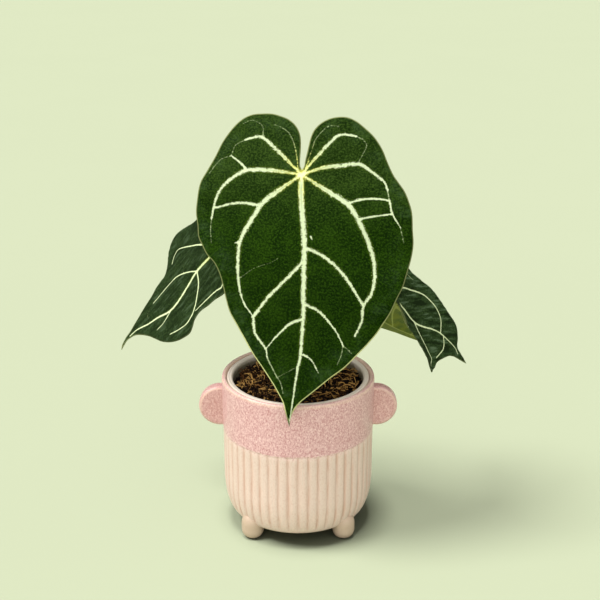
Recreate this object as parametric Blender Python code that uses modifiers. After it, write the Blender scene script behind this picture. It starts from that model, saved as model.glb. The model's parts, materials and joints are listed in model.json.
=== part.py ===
"""Potted silver-veined anthurium: ribbed, half-glazed cover pot on four feet, nursery pot, soil, crown,
four petioles and four heart-shaped leaves. Metres, +Z up, front of the plant towards -Y."""

import math

import bmesh
import bpy
import numpy as np
from mathutils import Matrix, Vector
from mathutils.geometry import delaunay_2d_cdt

MM = 0.001
GAP = 0.3 * MM

# Cover pot. Its rim diameter is the driving size: it takes a 120 mm nursery pot.
RIM_RADIUS = 66.6 * MM
BODY_RADIUS = 66.0 * MM
LIP_WIDTH = 4.1 * MM
BODY_HEIGHT = 126.0 * MM
FOOT_HEIGHT = 12.0 * MM
CORNER_IN = 10.9 * MM
CORNER_UP = 32.1 * MM
FLOOR_THICKNESS = 5.0 * MM
GLAZE_DEPTH = 48.2 * MM
BAND_DEPTH = 10.0 * MM
BAND_SWELL = 0.4 * MM
RIBS = 48
STEPS_PER_RIB = 3
GROOVE_DEPTH = 1.1 * MM
RIB_START = 2.5 * MM
RIB_FOOT = 3.0 * MM
RIB_FADE = 9.0 * MM
RIM_Z = FOOT_HEIGHT + BODY_HEIGHT
GLAZE_Z = RIM_Z - GLAZE_DEPTH
CAVITY_RADIUS = RIM_RADIUS - LIP_WIDTH
CAVITY_FLOOR = FOOT_HEIGHT + FLOOR_THICKNESS
CAVITY_CORNER_IN = 14.0 * MM
CAVITY_CORNER_UP = 18.0 * MM

EAR_RADIUS = 18.5 * MM
EAR_CENTRE_OUT = 68.6 * MM
EAR_DROP = 29.0 * MM
EAR_THICKNESS = 12.0 * MM
EAR_ROUNDING = 2.5 * MM

FOOT_RADIUS = 9.75 * MM
FOOT_SPOT_RADIUS = 4.0 * MM
FOOT_ROUNDING = 8.0 * MM
FOOT_OFFSET = 39.8 * MM
FOOT_TOP = 34.0 * MM
FOOT_TOP_RADIUS = 5.0 * MM
FOOT_TOP_TAPER = 14.0 * MM

# Nursery pot, whose rolled rim shows inside the cover pot's lip.
GROW_RIM_OUTER = 62.1 * MM
GROW_RIM_INNER = 57.0 * MM
GROW_TOP = RIM_Z - 0.7 * MM
GROW_RIM_DEPTH = 8.0 * MM
GROW_RIM_ROUNDING = 1.6 * MM
GROW_WALL = 1.3 * MM
GROW_FLOOR = CAVITY_FLOOR + GAP
GROW_BASE_RADIUS = 46.0 * MM
DRAIN_HOLES = 6
DRAIN_RADIUS = 4.0 * MM
DRAIN_CIRCLE = 28.0 * MM

# Soil and crown.
SOIL_Z = RIM_Z - 8.5 * MM
SOIL_RINGS = 7
SOIL_LUMP = 1.1 * MM
SOIL_CLEARANCE = 0.4 * MM
CROWN_RADIUS = 11.5 * MM
CROWN_ROUNDING = 4.0 * MM
CROWN_FOOT = SOIL_Z - 15.0 * MM
CROWN_TOP = SOIL_Z + 4.0 * MM
HOLE_LENGTH = 40.0 * MM

# Petioles. Each rises straight through the crown first, so that it leaves its hole clear all round.
PETIOLE_FOOT = SOIL_Z - 6.0 * MM
PETIOLE_RISES = (0.0, 6.0, 11.0, 14.0)
PETIOLE_FOOT_RADIUS = 3.2 * MM
PETIOLE_RADIUS = 2.2 * MM
PETIOLE_KNEE_RADIUS = 2.9 * MM
PETIOLE_FOOT_TAPER = 40.0 * MM
PETIOLE_STEP = 9.0
KNEE_START = 5.0 * MM
KNEE_LENGTH = 14.0 * MM
KNEE_RISE = 9.0

# Leaf blades.
BLADE_THICKNESS = 0.8 * MM
VEIN_RIDGE = 0.7 * MM
VEIN_REACH = 2.0
QUILT_HEIGHT = 1.4
QUILT_REACH = 6.0
CURL_WIDTH = 50.0
WAVE_WIDTH = 60.0
WAVE_LENGTH = 11.0
WAVE_SHIFT = 0.9
DRAWING_STEP = 1.5
EDGE_STEP = 6.0
VEIN_STEP = 6.0
FILL_STEP = 9.0
FILL_CLEARANCE = 3.6

# Each leaf is drawn flat in millimetres: u across, v from the junction down to the tip. It lies on a
# plane through junction and tip, turned by roll about that line, and is bowed, curled and waved off it.
LEAVES = {
    "front": {
        "junction": (2.9, 4.0, 314.9),
        "tip": (-7.0, -80.0, 125.9),
        "roll": 0.0,
        "bow": 9.0,
        "curl": 3.5,
        "wave": 1.6,
        "foot": (0.0, -4.5),
        "route": [(1, 6, 160), (2, 20, 205), (3, 27, 250), (4, 23, 290)],
        "edge_plus": [
            (0, -5), (1, -13), (3, -22), (6, -36), (10, -43), (15, -48), (21, -51), (29, -53), (37, -53),
            (46, -52), (54, -48), (62, -40), (70, -28), (75, -15), (80, -3), (85, 8), (87, 20), (88, 33),
            (86, 44), (84, 54), (80, 61), (75, 69), (68, 76), (63, 85), (60, 94), (57, 105), (53, 116),
            (46, 127), (39, 138), (32, 149), (23, 161), (15, 172), (10, 180), (6, 187), (4, 194), (2, 201),
            (0, 207),
        ],
        "edge_minus": [
            (0, -5), (-1, -11), (-3, -19), (-6, -34), (-10, -42), (-17, -48), (-25, -51), (-34, -51),
            (-41, -47), (-50, -40), (-58, -34), (-65, -24), (-70, -14), (-75, -4), (-80, 3), (-85, 10),
            (-89, 19), (-92, 29), (-93, 42), (-94, 53), (-93, 64), (-90, 78), (-87, 90), (-83, 99),
            (-78, 111), (-72, 121), (-67, 129), (-60, 138), (-53, 146), (-43, 157), (-33, 165), (-25, 172),
            (-17, 179), (-9, 186), (-4, 192), (-1, 199), (0, 207),
        ],
        "veins": [
            [(0, 0), (-1, 19), (-4, 42), (-6, 61), (-7, 91), (-8, 118), (-7, 147), (-5, 161), (-3, 178),
             (0, 200)],
            [(0, 0), (21, -20), (35, -32), (43, -32), (52, -30), (58, -25), (61, -16)],
            [(35, -32), (36, -42), (45, -46)],
            [(0, 0), (24, -3), (46, -3), (58, 4), (66, 12), (71, 22), (74, 38), (74, 47), (72, 59)],
            [(46, -3), (53, -10), (61, -16), (70, -12)],
            [(0, 0), (18, 14), (30, 24), (36, 33), (44, 48), (48, 59), (48, 78), (46, 95), (43, 107),
             (33, 119), (30, 132), (21, 144), (20, 152), (14, 166)],
            [(33, 27), (47, 26), (70, 24)],
            [(-5, 73), (5, 85), (21, 102), (33, 119)],
            [(-8, 119), (3, 124), (13, 134), (21, 144)],
            [(-6, 156), (3, 160), (9, 165)],
            [(0, 0), (-14, -19), (-27, -34), (-40, -35), (-49, -32), (-52, -26), (-46, -13)],
            [(-27, -34), (-26, -41), (-18, -41)],
            [(0, 0), (-19, -7), (-33, -9), (-47, -11), (-59, -4), (-68, 3), (-72, 11), (-73, 19), (-76, 30),
             (-83, 41)],
            [(0, 0), (-20, 12), (-37, 22), (-46, 32), (-55, 49), (-62, 67), (-64, 84), (-62, 96),
             (-56, 107), (-55, 119), (-50, 131)],
            [(-39, 23), (-51, 19), (-64, 18), (-73, 19)],
            [(-48, 36), (-60, 33), (-76, 30)],
            [(-6, 61), (-21, 67), (-36, 79), (-47, 93), (-56, 107)],
            [(-8, 107), (-21, 113), (-34, 127), (-41, 139), (-40, 147)],
            [(-7, 147), (-16, 152), (-22, 162)],
        ],
    },
    "left": {
        "junction": (-68.5, 30.0, 244.3),
        "tip": (-162.4, 58.0, 135.9),
        "roll": 39.0,
        "bow": -5.0,
        "curl": 2.0,
        "wave": 0.0,
        "foot": (-6.5, 1.5),
        "route": [(-12, 8, 155), (-24, 20, 186), (-40, 33, 215), (-54, 38, 234)],
        "edge_plus": [
            (0, -10), (2, -16), (5, -24), (8, -31), (13, -36), (21, -40), (29, -39), (38, -35), (46, -26),
            (52, -14), (56, -2), (59, 12), (62, 26), (69, 39), (74, 50), (74, 57), (69, 64), (62, 68),
            (52, 71), (43, 74), (38, 78), (37, 83), (35, 89), (31, 97), (27, 106), (22, 115), (17, 124),
            (13, 132), (10, 139), (5, 144), (0, 146),
        ],
        "edge_minus": [
            (0, -10), (-2, -16), (-5, -24), (-8, -31), (-13, -36), (-20, -38), (-27, -36), (-34, -30),
            (-41, -20), (-46, -8), (-48, 3), (-47, 12), (-43, 23), (-41, 33), (-38, 42), (-38, 48),
            (-40, 53), (-44, 57), (-47, 61), (-47, 66), (-45, 73), (-42, 80), (-37, 88), (-29, 97),
            (-20, 104), (-11, 111), (-2, 120), (4, 128), (6, 134), (6, 138), (3, 142), (0, 146),
        ],
        "veins": [
            [(0, 0), (2, 15), (4, 35), (0, 50), (-4, 63), (-6, 74), (-5, 83), (0, 96), (3, 109), (8, 124),
             (8, 138)],
            [(4, 35), (12, 44), (19, 54), (23, 62), (24, 69), (23, 83), (21, 98)],
            [(4, 35), (-10, 37), (-22, 44), (-29, 50), (-33, 56), (-35, 64), (-33, 74), (-29, 86)],
            [(0, 0), (26, 22), (39, 36), (53, 54), (50, 62), (44, 66)],
            [(0, 0), (-20, 0), (-38, 9), (-36, 19), (-34, 30), (-32, 49)],
            [(0, 0), (10, -18), (24, -28), (36, -22)],
            [(0, 0), (-9, -17), (-20, -27), (-30, -20)],
            [(-6, 78), (-11, 90), (-12, 100)],
        ],
    },
    "right": {
        "junction": (79.4, 26.0, 208.9),
        "tip": (156.2, 66.0, 118.6),
        "roll": -52.0,
        "bow": 2.0,
        "curl": 2.0,
        "wave": 0.0,
        "foot": (6.5, 1.5),
        "route": [(10, 9, 150), (26, 22, 172), (48, 34, 190), (66, 36, 202)],
        "sag": (9.0, 30.0, 26.0),
        "fold": 0.62,
        "edge_plus": [
            (0, -8), (2, -13), (4, -20), (7, -26), (12, -30), (18, -31), (25, -28), (31, -21), (35, -11),
            (36, 0), (34, 12), (31, 22), (29, 32), (30, 42), (33, 49), (36, 55), (40, 60), (46, 62),
            (52, 63), (46, 70), (40, 76), (34, 80), (29, 81), (24, 84), (17, 90), (10, 97), (7, 102),
            (5, 106), (3, 114), (0, 125),
        ],
        "edge_minus": [
            (0, -8), (-2, -13), (-4, -20), (-7, -26), (-12, -30), (-19, -32), (-27, -31), (-34, -25),
            (-40, -15), (-44, -4), (-46, 8), (-46, 20), (-45, 31), (-43, 45), (-42, 52), (-40, 60),
            (-37, 67), (-34, 76), (-31, 85), (-29, 94), (-26, 100), (-21, 103), (-14, 105), (-8, 107),
            (-5, 111), (-3, 118), (0, 125),
        ],
        "veins": [
            [(0, 0), (-2, 19), (-1, 33), (5, 46), (4, 56), (0, 67), (-3, 78), (-4, 92), (-4, 105),
             (-1, 112), (0, 120)],
            [(5, 46), (15, 55), (24, 67), (29, 74), (38, 74)],
            [(-3, 84), (8, 87), (23, 80)],
            [(0, 0), (-20, 25), (-26, 38), (-29, 49), (-28, 58), (-24, 69), (-17, 76), (-4, 79)],
            [(0, 0), (16, 3), (25, 14), (26, 28)],
            [(0, 0), (-18, -5), (-31, 4), (-37, 22), (-37, 36)],
            [(0, 0), (9, -16), (19, -21), (27, -12)],
            [(0, 0), (-10, -17), (-22, -22), (-32, -14)],
        ],
    },
    "back": {
        "junction": (62.6, 112.0, 185.4),
        "tip": (151.2, 165.0, 88.8),
        "roll": 35.0,
        "bow": 5.0,
        "curl": 2.5,
        "wave": 1.2,
        "foot": (0.5, 7.0),
        "route": [(4, 17, 148), (15, 40, 163), (32, 68, 172), (49, 92, 177)],
        "edge_plus": [
            (0, -8), (2, -14), (4, -21), (7, -28), (12, -33), (19, -36), (26, -34), (33, -28), (39, -18),
            (43, -6), (46, 8), (47, 24), (46, 40), (43, 56), (38, 70), (32, 83), (25, 96), (18, 109),
            (11, 121), (5, 131), (2, 136), (0, 141),
        ],
        "edge_minus": [
            (0, -8), (-2, -14), (-4, -21), (-7, -28), (-12, -33), (-19, -36), (-27, -34), (-34, -28),
            (-41, -18), (-47, -6), (-51, 8), (-53, 24), (-53, 40), (-51, 56), (-47, 70), (-41, 81),
            (-36, 89), (-30, 98), (-19, 114), (-9, 127), (-3, 135), (0, 141),
        ],
        "veins": [
            [(0, 0), (1, 28), (-2, 56), (-3, 84), (-2, 110), (0, 132)],
            [(0, 0), (14, -13), (25, -21), (34, -14)],
            [(0, 0), (-14, -13), (-26, -21), (-36, -13)],
            [(0, 0), (18, 0), (32, 9), (38, 24), (38, 40)],
            [(0, 0), (-19, 0), (-35, 7), (-43, 24), (-44, 44), (-41, 58)],
            [(0, 0), (13, 13), (23, 28), (27, 48), (26, 68), (18, 86)],
            [(0, 0), (-14, 13), (-25, 30), (-31, 52), (-30, 72), (-24, 92), (-15, 108)],
            [(-2, 50), (10, 58), (22, 76)],
            [(-2, 54), (-14, 65), (-27, 84)],
            [(-3, 86), (7, 95), (13, 104)],
            [(-3, 90), (-11, 99), (-19, 104)],
        ],
    },
}

# The right leaf is folded up beyond two lines of its drawing, each given by a point and the way across it.
FOLD_LINES = (((-3, 20), (0.956, -0.294)), ((5, 46), (0.730, -0.683)))
FOLD_START = 1.0
FOLD_ROUNDING = 6.0


def clear_scene():
    for obj in list(bpy.data.objects):
        bpy.data.objects.remove(obj, do_unlink=True)


def collection(name):
    made = bpy.data.collections.new(name)
    bpy.context.scene.collection.children.link(made)
    return made


def material(name, colour, roughness):
    made = bpy.data.materials.new(name)
    made.use_nodes = True
    shader = made.node_tree.nodes["Principled BSDF"]
    shader.inputs["Base Color"].default_value = (*colour, 1.0)
    shader.inputs["Roughness"].default_value = roughness
    shader.inputs["Metallic"].default_value = 0.0
    made.diffuse_color = (*colour, 1.0)
    return made


def mesh_object(name, vertices, edges, faces, group):
    mesh = bpy.data.meshes.new(name)
    mesh.from_pydata(vertices, edges, faces)
    obj = bpy.data.objects.new(name, mesh)
    group.objects.link(obj)
    return obj


def applied(obj, weld=0.00002):
    """Replace the object's data with its evaluated mesh, welded, faces out."""
    bpy.context.view_layer.update()
    graph = bpy.context.evaluated_depsgraph_get()
    mesh = bpy.data.meshes.new_from_object(obj.evaluated_get(graph))
    mesh.name = obj.name
    shape = bmesh.new()
    shape.from_mesh(mesh)
    bmesh.ops.remove_doubles(shape, verts=shape.verts, dist=weld)
    bmesh.ops.dissolve_degenerate(shape, edges=shape.edges, dist=weld / 10)
    bmesh.ops.recalc_face_normals(shape, faces=shape.faces)
    shape.to_mesh(mesh)
    shape.free()
    if obj.type == "MESH":
        obj.modifiers.clear()
        obj.data = mesh
        return obj
    solid = bpy.data.objects.new(obj.name, mesh)
    solid.matrix_world = obj.matrix_world
    obj.users_collection[0].objects.link(solid)
    bpy.data.objects.remove(obj, do_unlink=True)
    return solid


def turned(name, profile, steps, group):
    """Revolve a profile of (radius, height) points, which starts and ends on the axis, about Z."""
    points = [(radius, 0.0, height) for radius, height in profile]
    edges = [(i, i + 1) for i in range(len(points) - 1)]
    obj = mesh_object(name, points, edges, [], group)
    screw = obj.modifiers.new("Turn", "SCREW")
    screw.axis = "Z"
    screw.angle = math.tau
    screw.steps = steps
    screw.render_steps = steps
    screw.use_merge_vertices = True
    screw.merge_threshold = 0.00001
    return applied(obj)


def arc(centre, radii, start, end, steps):
    """Points of an elliptical arc in the (radius, height) plane, angles in degrees."""
    points = []
    for i in range(steps + 1):
        angle = math.radians(start + (end - start) * i / steps)
        points.append((centre[0] + radii[0] * math.cos(angle), centre[1] + radii[1] * math.sin(angle)))
    return points


def boolean(obj, other, operation):
    cut = obj.modifiers.new(operation.title(), "BOOLEAN")
    cut.operation = operation
    cut.solver = "EXACT"
    cut.object = other
    applied(obj)
    bpy.data.objects.remove(other, do_unlink=True)


def smooth(obj, angle=40.0):
    obj.data.shade_smooth()
    obj.data.set_sharp_from_angle(angle=math.radians(angle))


def outer_profile():
    lip = LIP_WIDTH / 2
    lip_centre = (RIM_RADIUS - lip, RIM_Z - lip)
    corner_centre = (BODY_RADIUS - CORNER_IN, FOOT_HEIGHT + CORNER_UP)
    points = [(0.0, RIM_Z), (lip_centre[0], RIM_Z)]
    points += arc(lip_centre, (lip, lip), 60, 0, 2)
    points += [(BODY_RADIUS + BAND_SWELL, RIM_Z - BAND_DEPTH)]
    points += [(BODY_RADIUS, GLAZE_Z), (BODY_RADIUS, GLAZE_Z - RIB_START)]
    points += arc(corner_centre, (CORNER_IN, CORNER_UP), 0, -90, 6)
    points += [(0.0, FOOT_HEIGHT)]
    return points


def rib_fade(height):
    """1 on the ribbed band, 0 on the glazed band and at the bottom edge."""
    upper = min(max((GLAZE_Z - height) / RIB_START, 0.0), 1.0)
    lower = min(max((height - FOOT_HEIGHT - RIB_FOOT) / RIB_FADE, 0.0), 1.0)
    return upper * lower


def cut_ribs(body):
    """Sink one of each rib's three columns of points, which makes the groove."""
    spacing = math.tau / RIBS
    for vertex in body.data.vertices:
        x, y, z = vertex.co
        radius = math.hypot(x, y)
        if radius < BODY_RADIUS - CORNER_IN + MM or z > GLAZE_Z:
            continue
        turn = math.atan2(y, x) / spacing
        if abs(turn - round(turn)) < 0.1:
            scale = (radius - GROOVE_DEPTH * rib_fade(z)) / radius
            vertex.co = (x * scale, y * scale, z)


def make_ear(side, group):
    half = EAR_THICKNESS / 2
    corner = (EAR_RADIUS - EAR_ROUNDING, half - EAR_ROUNDING)
    rounding = (EAR_ROUNDING, EAR_ROUNDING)
    profile = [(0.0, half)] + arc(corner, rounding, 90, 0, 3)
    profile += arc((corner[0], -corner[1]), rounding, 0, -90, 3) + [(0.0, -half)]
    ear = turned("ear", profile, 28, group)
    turn = Matrix.Rotation(math.radians(90), 4, "X")
    ear.data.transform(Matrix.Translation((side * EAR_CENTRE_OUT, 0, RIM_Z - EAR_DROP)) @ turn)
    return ear


def make_foot(x, y, group):
    spread = FOOT_RADIUS - FOOT_SPOT_RADIUS
    profile = [(0.0, FOOT_TOP), (FOOT_TOP_RADIUS, FOOT_TOP), (FOOT_RADIUS, FOOT_TOP - FOOT_TOP_TAPER)]
    profile += arc((FOOT_SPOT_RADIUS, FOOT_ROUNDING), (spread, FOOT_ROUNDING), 0, -90, 4)
    profile += [(0.0, 0.0)]
    foot = turned("foot", profile, 16, group)
    foot.data.transform(Matrix.Translation((x, y, 0)))
    return foot


def make_cover_pot(group):
    body = turned("cover_pot", outer_profile(), RIBS * STEPS_PER_RIB, group)
    cut_ribs(body)
    for side in (-1, 1):
        boolean(body, make_ear(side, group), "UNION")
    for x in (-FOOT_OFFSET, FOOT_OFFSET):
        for y in (-FOOT_OFFSET, FOOT_OFFSET):
            boolean(body, make_foot(x, y, group), "UNION")
    lip = LIP_WIDTH / 2
    above = RIM_Z + LIP_WIDTH
    corner_centre = (CAVITY_RADIUS - CAVITY_CORNER_IN, CAVITY_FLOOR + CAVITY_CORNER_UP)
    cavity = [(0.0, above), (CAVITY_RADIUS + lip, above), (CAVITY_RADIUS + lip, RIM_Z)]
    cavity += arc((CAVITY_RADIUS + lip, RIM_Z - lip), (lip, lip), 120, 180, 2)
    cavity += arc(corner_centre, (CAVITY_CORNER_IN, CAVITY_CORNER_UP), 0, -90, 4)
    cavity += [(0.0, CAVITY_FLOOR)]
    boolean(body, turned("cavity", cavity, 60, group), "DIFFERENCE")
    body.data.materials.append(material("pink_and_cream_glaze", (0.80, 0.62, 0.52), 0.35))
    smooth(body, 35)
    return body


def grow_wall_radius(height):
    """Inner radius of the nursery pot's tapered wall."""
    low = GROW_FLOOR + GROW_WALL
    high = GROW_TOP - GROW_RIM_DEPTH
    share = min(max((height - low) / (high - low), 0.0), 1.0)
    base = GROW_BASE_RADIUS - GROW_WALL
    return base + (GROW_RIM_INNER - base) * share


def make_grow_pot(group):
    under_rim = GROW_TOP - GROW_RIM_DEPTH
    edge = GROW_RIM_ROUNDING
    profile = [(0.0, GROW_FLOOR + GROW_WALL), (GROW_BASE_RADIUS - GROW_WALL, GROW_FLOOR + GROW_WALL)]
    profile += [(GROW_RIM_INNER, under_rim)]
    profile += arc((GROW_RIM_INNER + edge, GROW_TOP - edge), (edge, edge), 180, 90, 3)
    profile += arc((GROW_RIM_OUTER - edge, GROW_TOP - edge), (edge, edge), 90, 0, 3)
    profile += [(GROW_RIM_OUTER, under_rim), (GROW_RIM_INNER + GROW_WALL, under_rim)]
    profile += [(GROW_BASE_RADIUS, GROW_FLOOR), (0.0, GROW_FLOOR)]
    pot = turned("grow_pot", profile, 44, group)
    for i in range(DRAIN_HOLES):
        angle = math.tau * i / DRAIN_HOLES
        place = (DRAIN_CIRCLE * math.cos(angle), DRAIN_CIRCLE * math.sin(angle), GROW_FLOOR)
        bpy.ops.mesh.primitive_cylinder_add(vertices=10, radius=DRAIN_RADIUS, depth=8 * MM, location=place)
        boolean(pot, bpy.context.object, "DIFFERENCE")
    pot.data.materials.append(material("pale_plastic", (0.72, 0.69, 0.62), 0.5))
    smooth(pot)
    return pot


def bore(obj, radius, x, y, foot, sides):
    """Cut a plain round hole that is open at the top, from the height foot up."""
    place = (x, y, foot + HOLE_LENGTH / 2)
    bpy.ops.mesh.primitive_cylinder_add(vertices=sides, radius=radius, depth=HOLE_LENGTH, location=place)
    boolean(obj, bpy.context.object, "DIFFERENCE")


def soil_lump(x, y):
    """Lumps of the soil's surface, as a share of their height, at a place in millimetres."""
    lump = math.sin(0.31 * x + 1.0) * math.cos(0.27 * y) + 0.7 * math.sin(0.63 * x - 0.55 * y + 2.0)
    return lump + 0.5 * math.sin(1.1 * y + 0.8 * x)


def make_soil(group):
    low = GROW_FLOOR + GROW_WALL + GAP
    outer = grow_wall_radius(SOIL_Z) - SOIL_CLEARANCE
    profile = [(outer * i / SOIL_RINGS, SOIL_Z) for i in range(SOIL_RINGS + 1)]
    profile += [(grow_wall_radius(low) - SOIL_CLEARANCE - GAP, low), (0.0, low)]
    soil = turned("soil", profile, 42, group)
    for vertex in soil.data.vertices:
        if vertex.co.z > SOIL_Z - MM:
            vertex.co.z += SOIL_LUMP * soil_lump(vertex.co.x / MM, vertex.co.y / MM)
    bore(soil, CROWN_RADIUS + GAP, 0, 0, CROWN_FOOT - GAP, 24)
    soil.data.materials.append(material("coir_mix", (0.12, 0.07, 0.03), 0.95))
    smooth(soil)
    return soil


def make_crown(group):
    shoulder = CROWN_RADIUS - CROWN_ROUNDING
    rounding = (CROWN_ROUNDING, CROWN_ROUNDING)
    profile = [(0.0, CROWN_TOP)] + arc((shoulder, CROWN_TOP - CROWN_ROUNDING), rounding, 90, 0, 3)
    profile += arc((shoulder, CROWN_FOOT + CROWN_ROUNDING), rounding, 0, -90, 2) + [(0.0, CROWN_FOOT)]
    crown = turned("crown", profile, 24, group)
    for leaf in LEAVES.values():
        x, y = (value * MM for value in leaf["foot"])
        bore(crown, PETIOLE_FOOT_RADIUS + GAP, x, y, PETIOLE_FOOT - GAP, 12)
    crown.data.materials.append(material("crown_bark", (0.22, 0.15, 0.07), 0.8))
    smooth(crown)
    return crown


def spline(points, step):
    """Catmull-Rom curve through the points, sampled about every step, in any dimension."""
    points = np.array(points, float)
    before = 2 * points[0] - points[1]
    after = 2 * points[-1] - points[-2]
    full = np.vstack([before, points, after])
    samples = []
    for i in range(1, len(full) - 2):
        p0, p1, p2, p3 = full[i - 1 : i + 3]
        count = max(1, round(float(np.linalg.norm(p2 - p1)) / step))
        for k in range(count):
            t = k / count
            cubic = 2 * p1 + (p2 - p0) * t + (2 * p0 - 5 * p1 + 4 * p2 - p3) * t**2
            samples.append(0.5 * (cubic + (3 * p1 - p0 - 3 * p2 + p3) * t**3))
    samples.append(points[-1])
    return np.array(samples)


def even(points, step):
    """The same path with points spaced evenly, about step apart."""
    lengths = np.concatenate([[0], np.cumsum(np.linalg.norm(np.diff(points, axis=0), axis=1))])
    count = max(2, round(lengths[-1] / step) + 1)
    places = np.linspace(0, lengths[-1], count)
    return np.stack([np.interp(places, lengths, points[:, i]) for i in range(points.shape[1])], axis=1)


class Blade:
    """The curved sheet that a leaf's flat drawing lies on."""

    def __init__(self, leaf):
        self.leaf = leaf
        self.junction = np.array(leaf["junction"], float)
        along = np.array(leaf["tip"], float) - self.junction
        self.length = float(np.linalg.norm(along))
        self.along = along / self.length
        azimuth = math.atan2(self.along[1], self.along[0])
        pitch = math.asin(-self.along[2])
        level_up = np.array(
            [math.sin(pitch) * math.cos(azimuth), math.sin(pitch) * math.sin(azimuth), math.cos(pitch)]
        )
        level_across = np.cross(self.along, level_up)
        roll = math.radians(leaf["roll"])
        self.across = level_across * math.cos(roll) + level_up * math.sin(roll)
        self.up = level_up * math.cos(roll) - level_across * math.sin(roll)

    def height(self, u, v):
        leaf = self.leaf
        share = 2 * v / self.length - 1
        height = leaf["bow"] * (1 - share**2) - leaf["curl"] * (u / CURL_WIDTH) ** 2
        phase = v / WAVE_LENGTH + np.sign(u) * WAVE_SHIFT
        height = height + leaf["wave"] * (u / WAVE_WIDTH) ** 2 * np.sin(phase)
        if "sag" in leaf:
            depth, place, reach = leaf["sag"]
            height = height - depth * np.exp(-(((v - place) / reach) ** 2))
            sides = [(u - at[0]) * way[0] + (v - at[1]) * way[1] for at, way in FOLD_LINES]
            beyond = np.minimum(*sides) - FOLD_START
            height = height + leaf["fold"] * 0.5 * (beyond + np.sqrt(beyond**2 + FOLD_ROUNDING))
        return height

    def at(self, u, v, lift=0.0):
        height = self.height(u, v) + lift
        flat = u[..., None] * self.across + v[..., None] * self.along
        return self.junction + flat + height[..., None] * self.up

    def normal(self, u, v):
        step = 0.5
        du = self.at(u + step, v) - self.at(u - step, v)
        dv = self.at(u, v + step) - self.at(u, v - step)
        normal = np.cross(du, dv)
        return normal / np.linalg.norm(normal, axis=-1, keepdims=True)


def distance_to_paths(points, paths):
    """Distance of each flat point to the nearest of the paths."""
    best = np.full(len(points), np.inf)
    for path in paths:
        start = path[:-1]
        way = path[1:] - start
        share = ((points[:, None] - start) * way).sum(-1) / (way**2).sum(-1)
        nearest = start + way * np.clip(share, 0, 1)[..., None]
        best = np.minimum(best, np.linalg.norm(points[:, None] - nearest, axis=-1).min(axis=1))
    return best


def inside(points, outline):
    """Which flat points lie inside the closed outline."""
    within = np.zeros(len(points), bool)
    ends = np.roll(outline, -1, axis=0)
    for (x0, y0), (x1, y1) in zip(outline, ends):
        crosses = (y0 > points[:, 1]) != (y1 > points[:, 1])
        if y0 != y1:
            within ^= crosses & (points[:, 0] < (x1 - x0) * (points[:, 1] - y0) / (y1 - y0) + x0)
    return within


def flat_leaf(leaf):
    """Points and triangles of the leaf's flat drawing, with the veins as edges, and the outline's order."""
    plus = even(spline(leaf["edge_plus"], DRAWING_STEP), EDGE_STEP)
    minus = even(spline(leaf["edge_minus"], DRAWING_STEP), EDGE_STEP)
    outline = np.vstack([plus, minus[-2:0:-1]])
    veins = [even(spline(path, DRAWING_STEP), VEIN_STEP) for path in leaf["veins"]]
    low, high = outline.min(axis=0), outline.max(axis=0)
    fill = []
    for row, v in enumerate(np.arange(low[1], high[1], FILL_STEP * 0.866)):
        shift = FILL_STEP / 2 * (row % 2)
        fill += [(u, v) for u in np.arange(low[0] + shift, high[0], FILL_STEP)]
    fill = np.array(fill)
    closed = np.vstack([outline, outline[:1]])
    apart = distance_to_paths(fill, [closed, *veins])
    fill = fill[inside(fill, outline) & (apart > FILL_CLEARANCE)]
    points = [Vector(point) for point in outline]
    edges = []
    for path in veins:
        first = len(points)
        points += [Vector(point) for point in path]
        edges += [(i, i + 1) for i in range(first, len(points) - 1)]
    points += [Vector(point) for point in fill]
    rim = len(outline)
    edges += [(i, (i + 1) % rim) for i in range(rim)]
    flat, _, triangles, _, _, _ = delaunay_2d_cdt(points, edges, [], 0, 0.4, False)
    flat = np.array([tuple(point) for point in flat])
    triangles = np.array([tuple(triangle) for triangle in triangles])
    triangles = triangles[inside(flat[triangles].mean(axis=1), outline)]
    used, renumbered = np.unique(triangles, return_inverse=True)
    return flat[used], renumbered.reshape(-1, 3), veins


def make_leaf(key, group):
    leaf = LEAVES[key]
    blade = Blade(leaf)
    flat, triangles, veins = flat_leaf(leaf)
    u, v = flat[:, 0], flat[:, 1]
    apart = distance_to_paths(flat, veins)
    quilt = QUILT_HEIGHT * (1 - np.exp(-apart / QUILT_REACH))
    top = blade.at(u, v, quilt) * MM
    thickness = BLADE_THICKNESS + VEIN_RIDGE * np.exp(-((apart / VEIN_REACH) ** 2))
    under = top - blade.normal(u, v) * thickness[:, None]
    count = len(flat)
    faces = [tuple(int(i) for i in triangle) for triangle in triangles]
    mesh_faces = faces + [tuple(i + count for i in reversed(face)) for face in faces]
    directed = {(face[i], face[(i + 1) % 3]) for face in faces for i in range(3)}
    for a, b in directed:
        if (b, a) not in directed:
            mesh_faces += [(b, a, a + count), (b, a + count, b + count)]
    obj = mesh_object("leaf_" + key, [tuple(p) for p in np.vstack([top, under])], [], mesh_faces, group)
    shape = bmesh.new()
    shape.from_mesh(obj.data)
    bmesh.ops.recalc_face_normals(shape, faces=shape.faces)
    shape.to_mesh(obj.data)
    shape.free()
    obj.data.materials.append(material("blade_" + key, (0.02, 0.06, 0.015), 0.6))
    smooth(obj, 50)
    return obj


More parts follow.
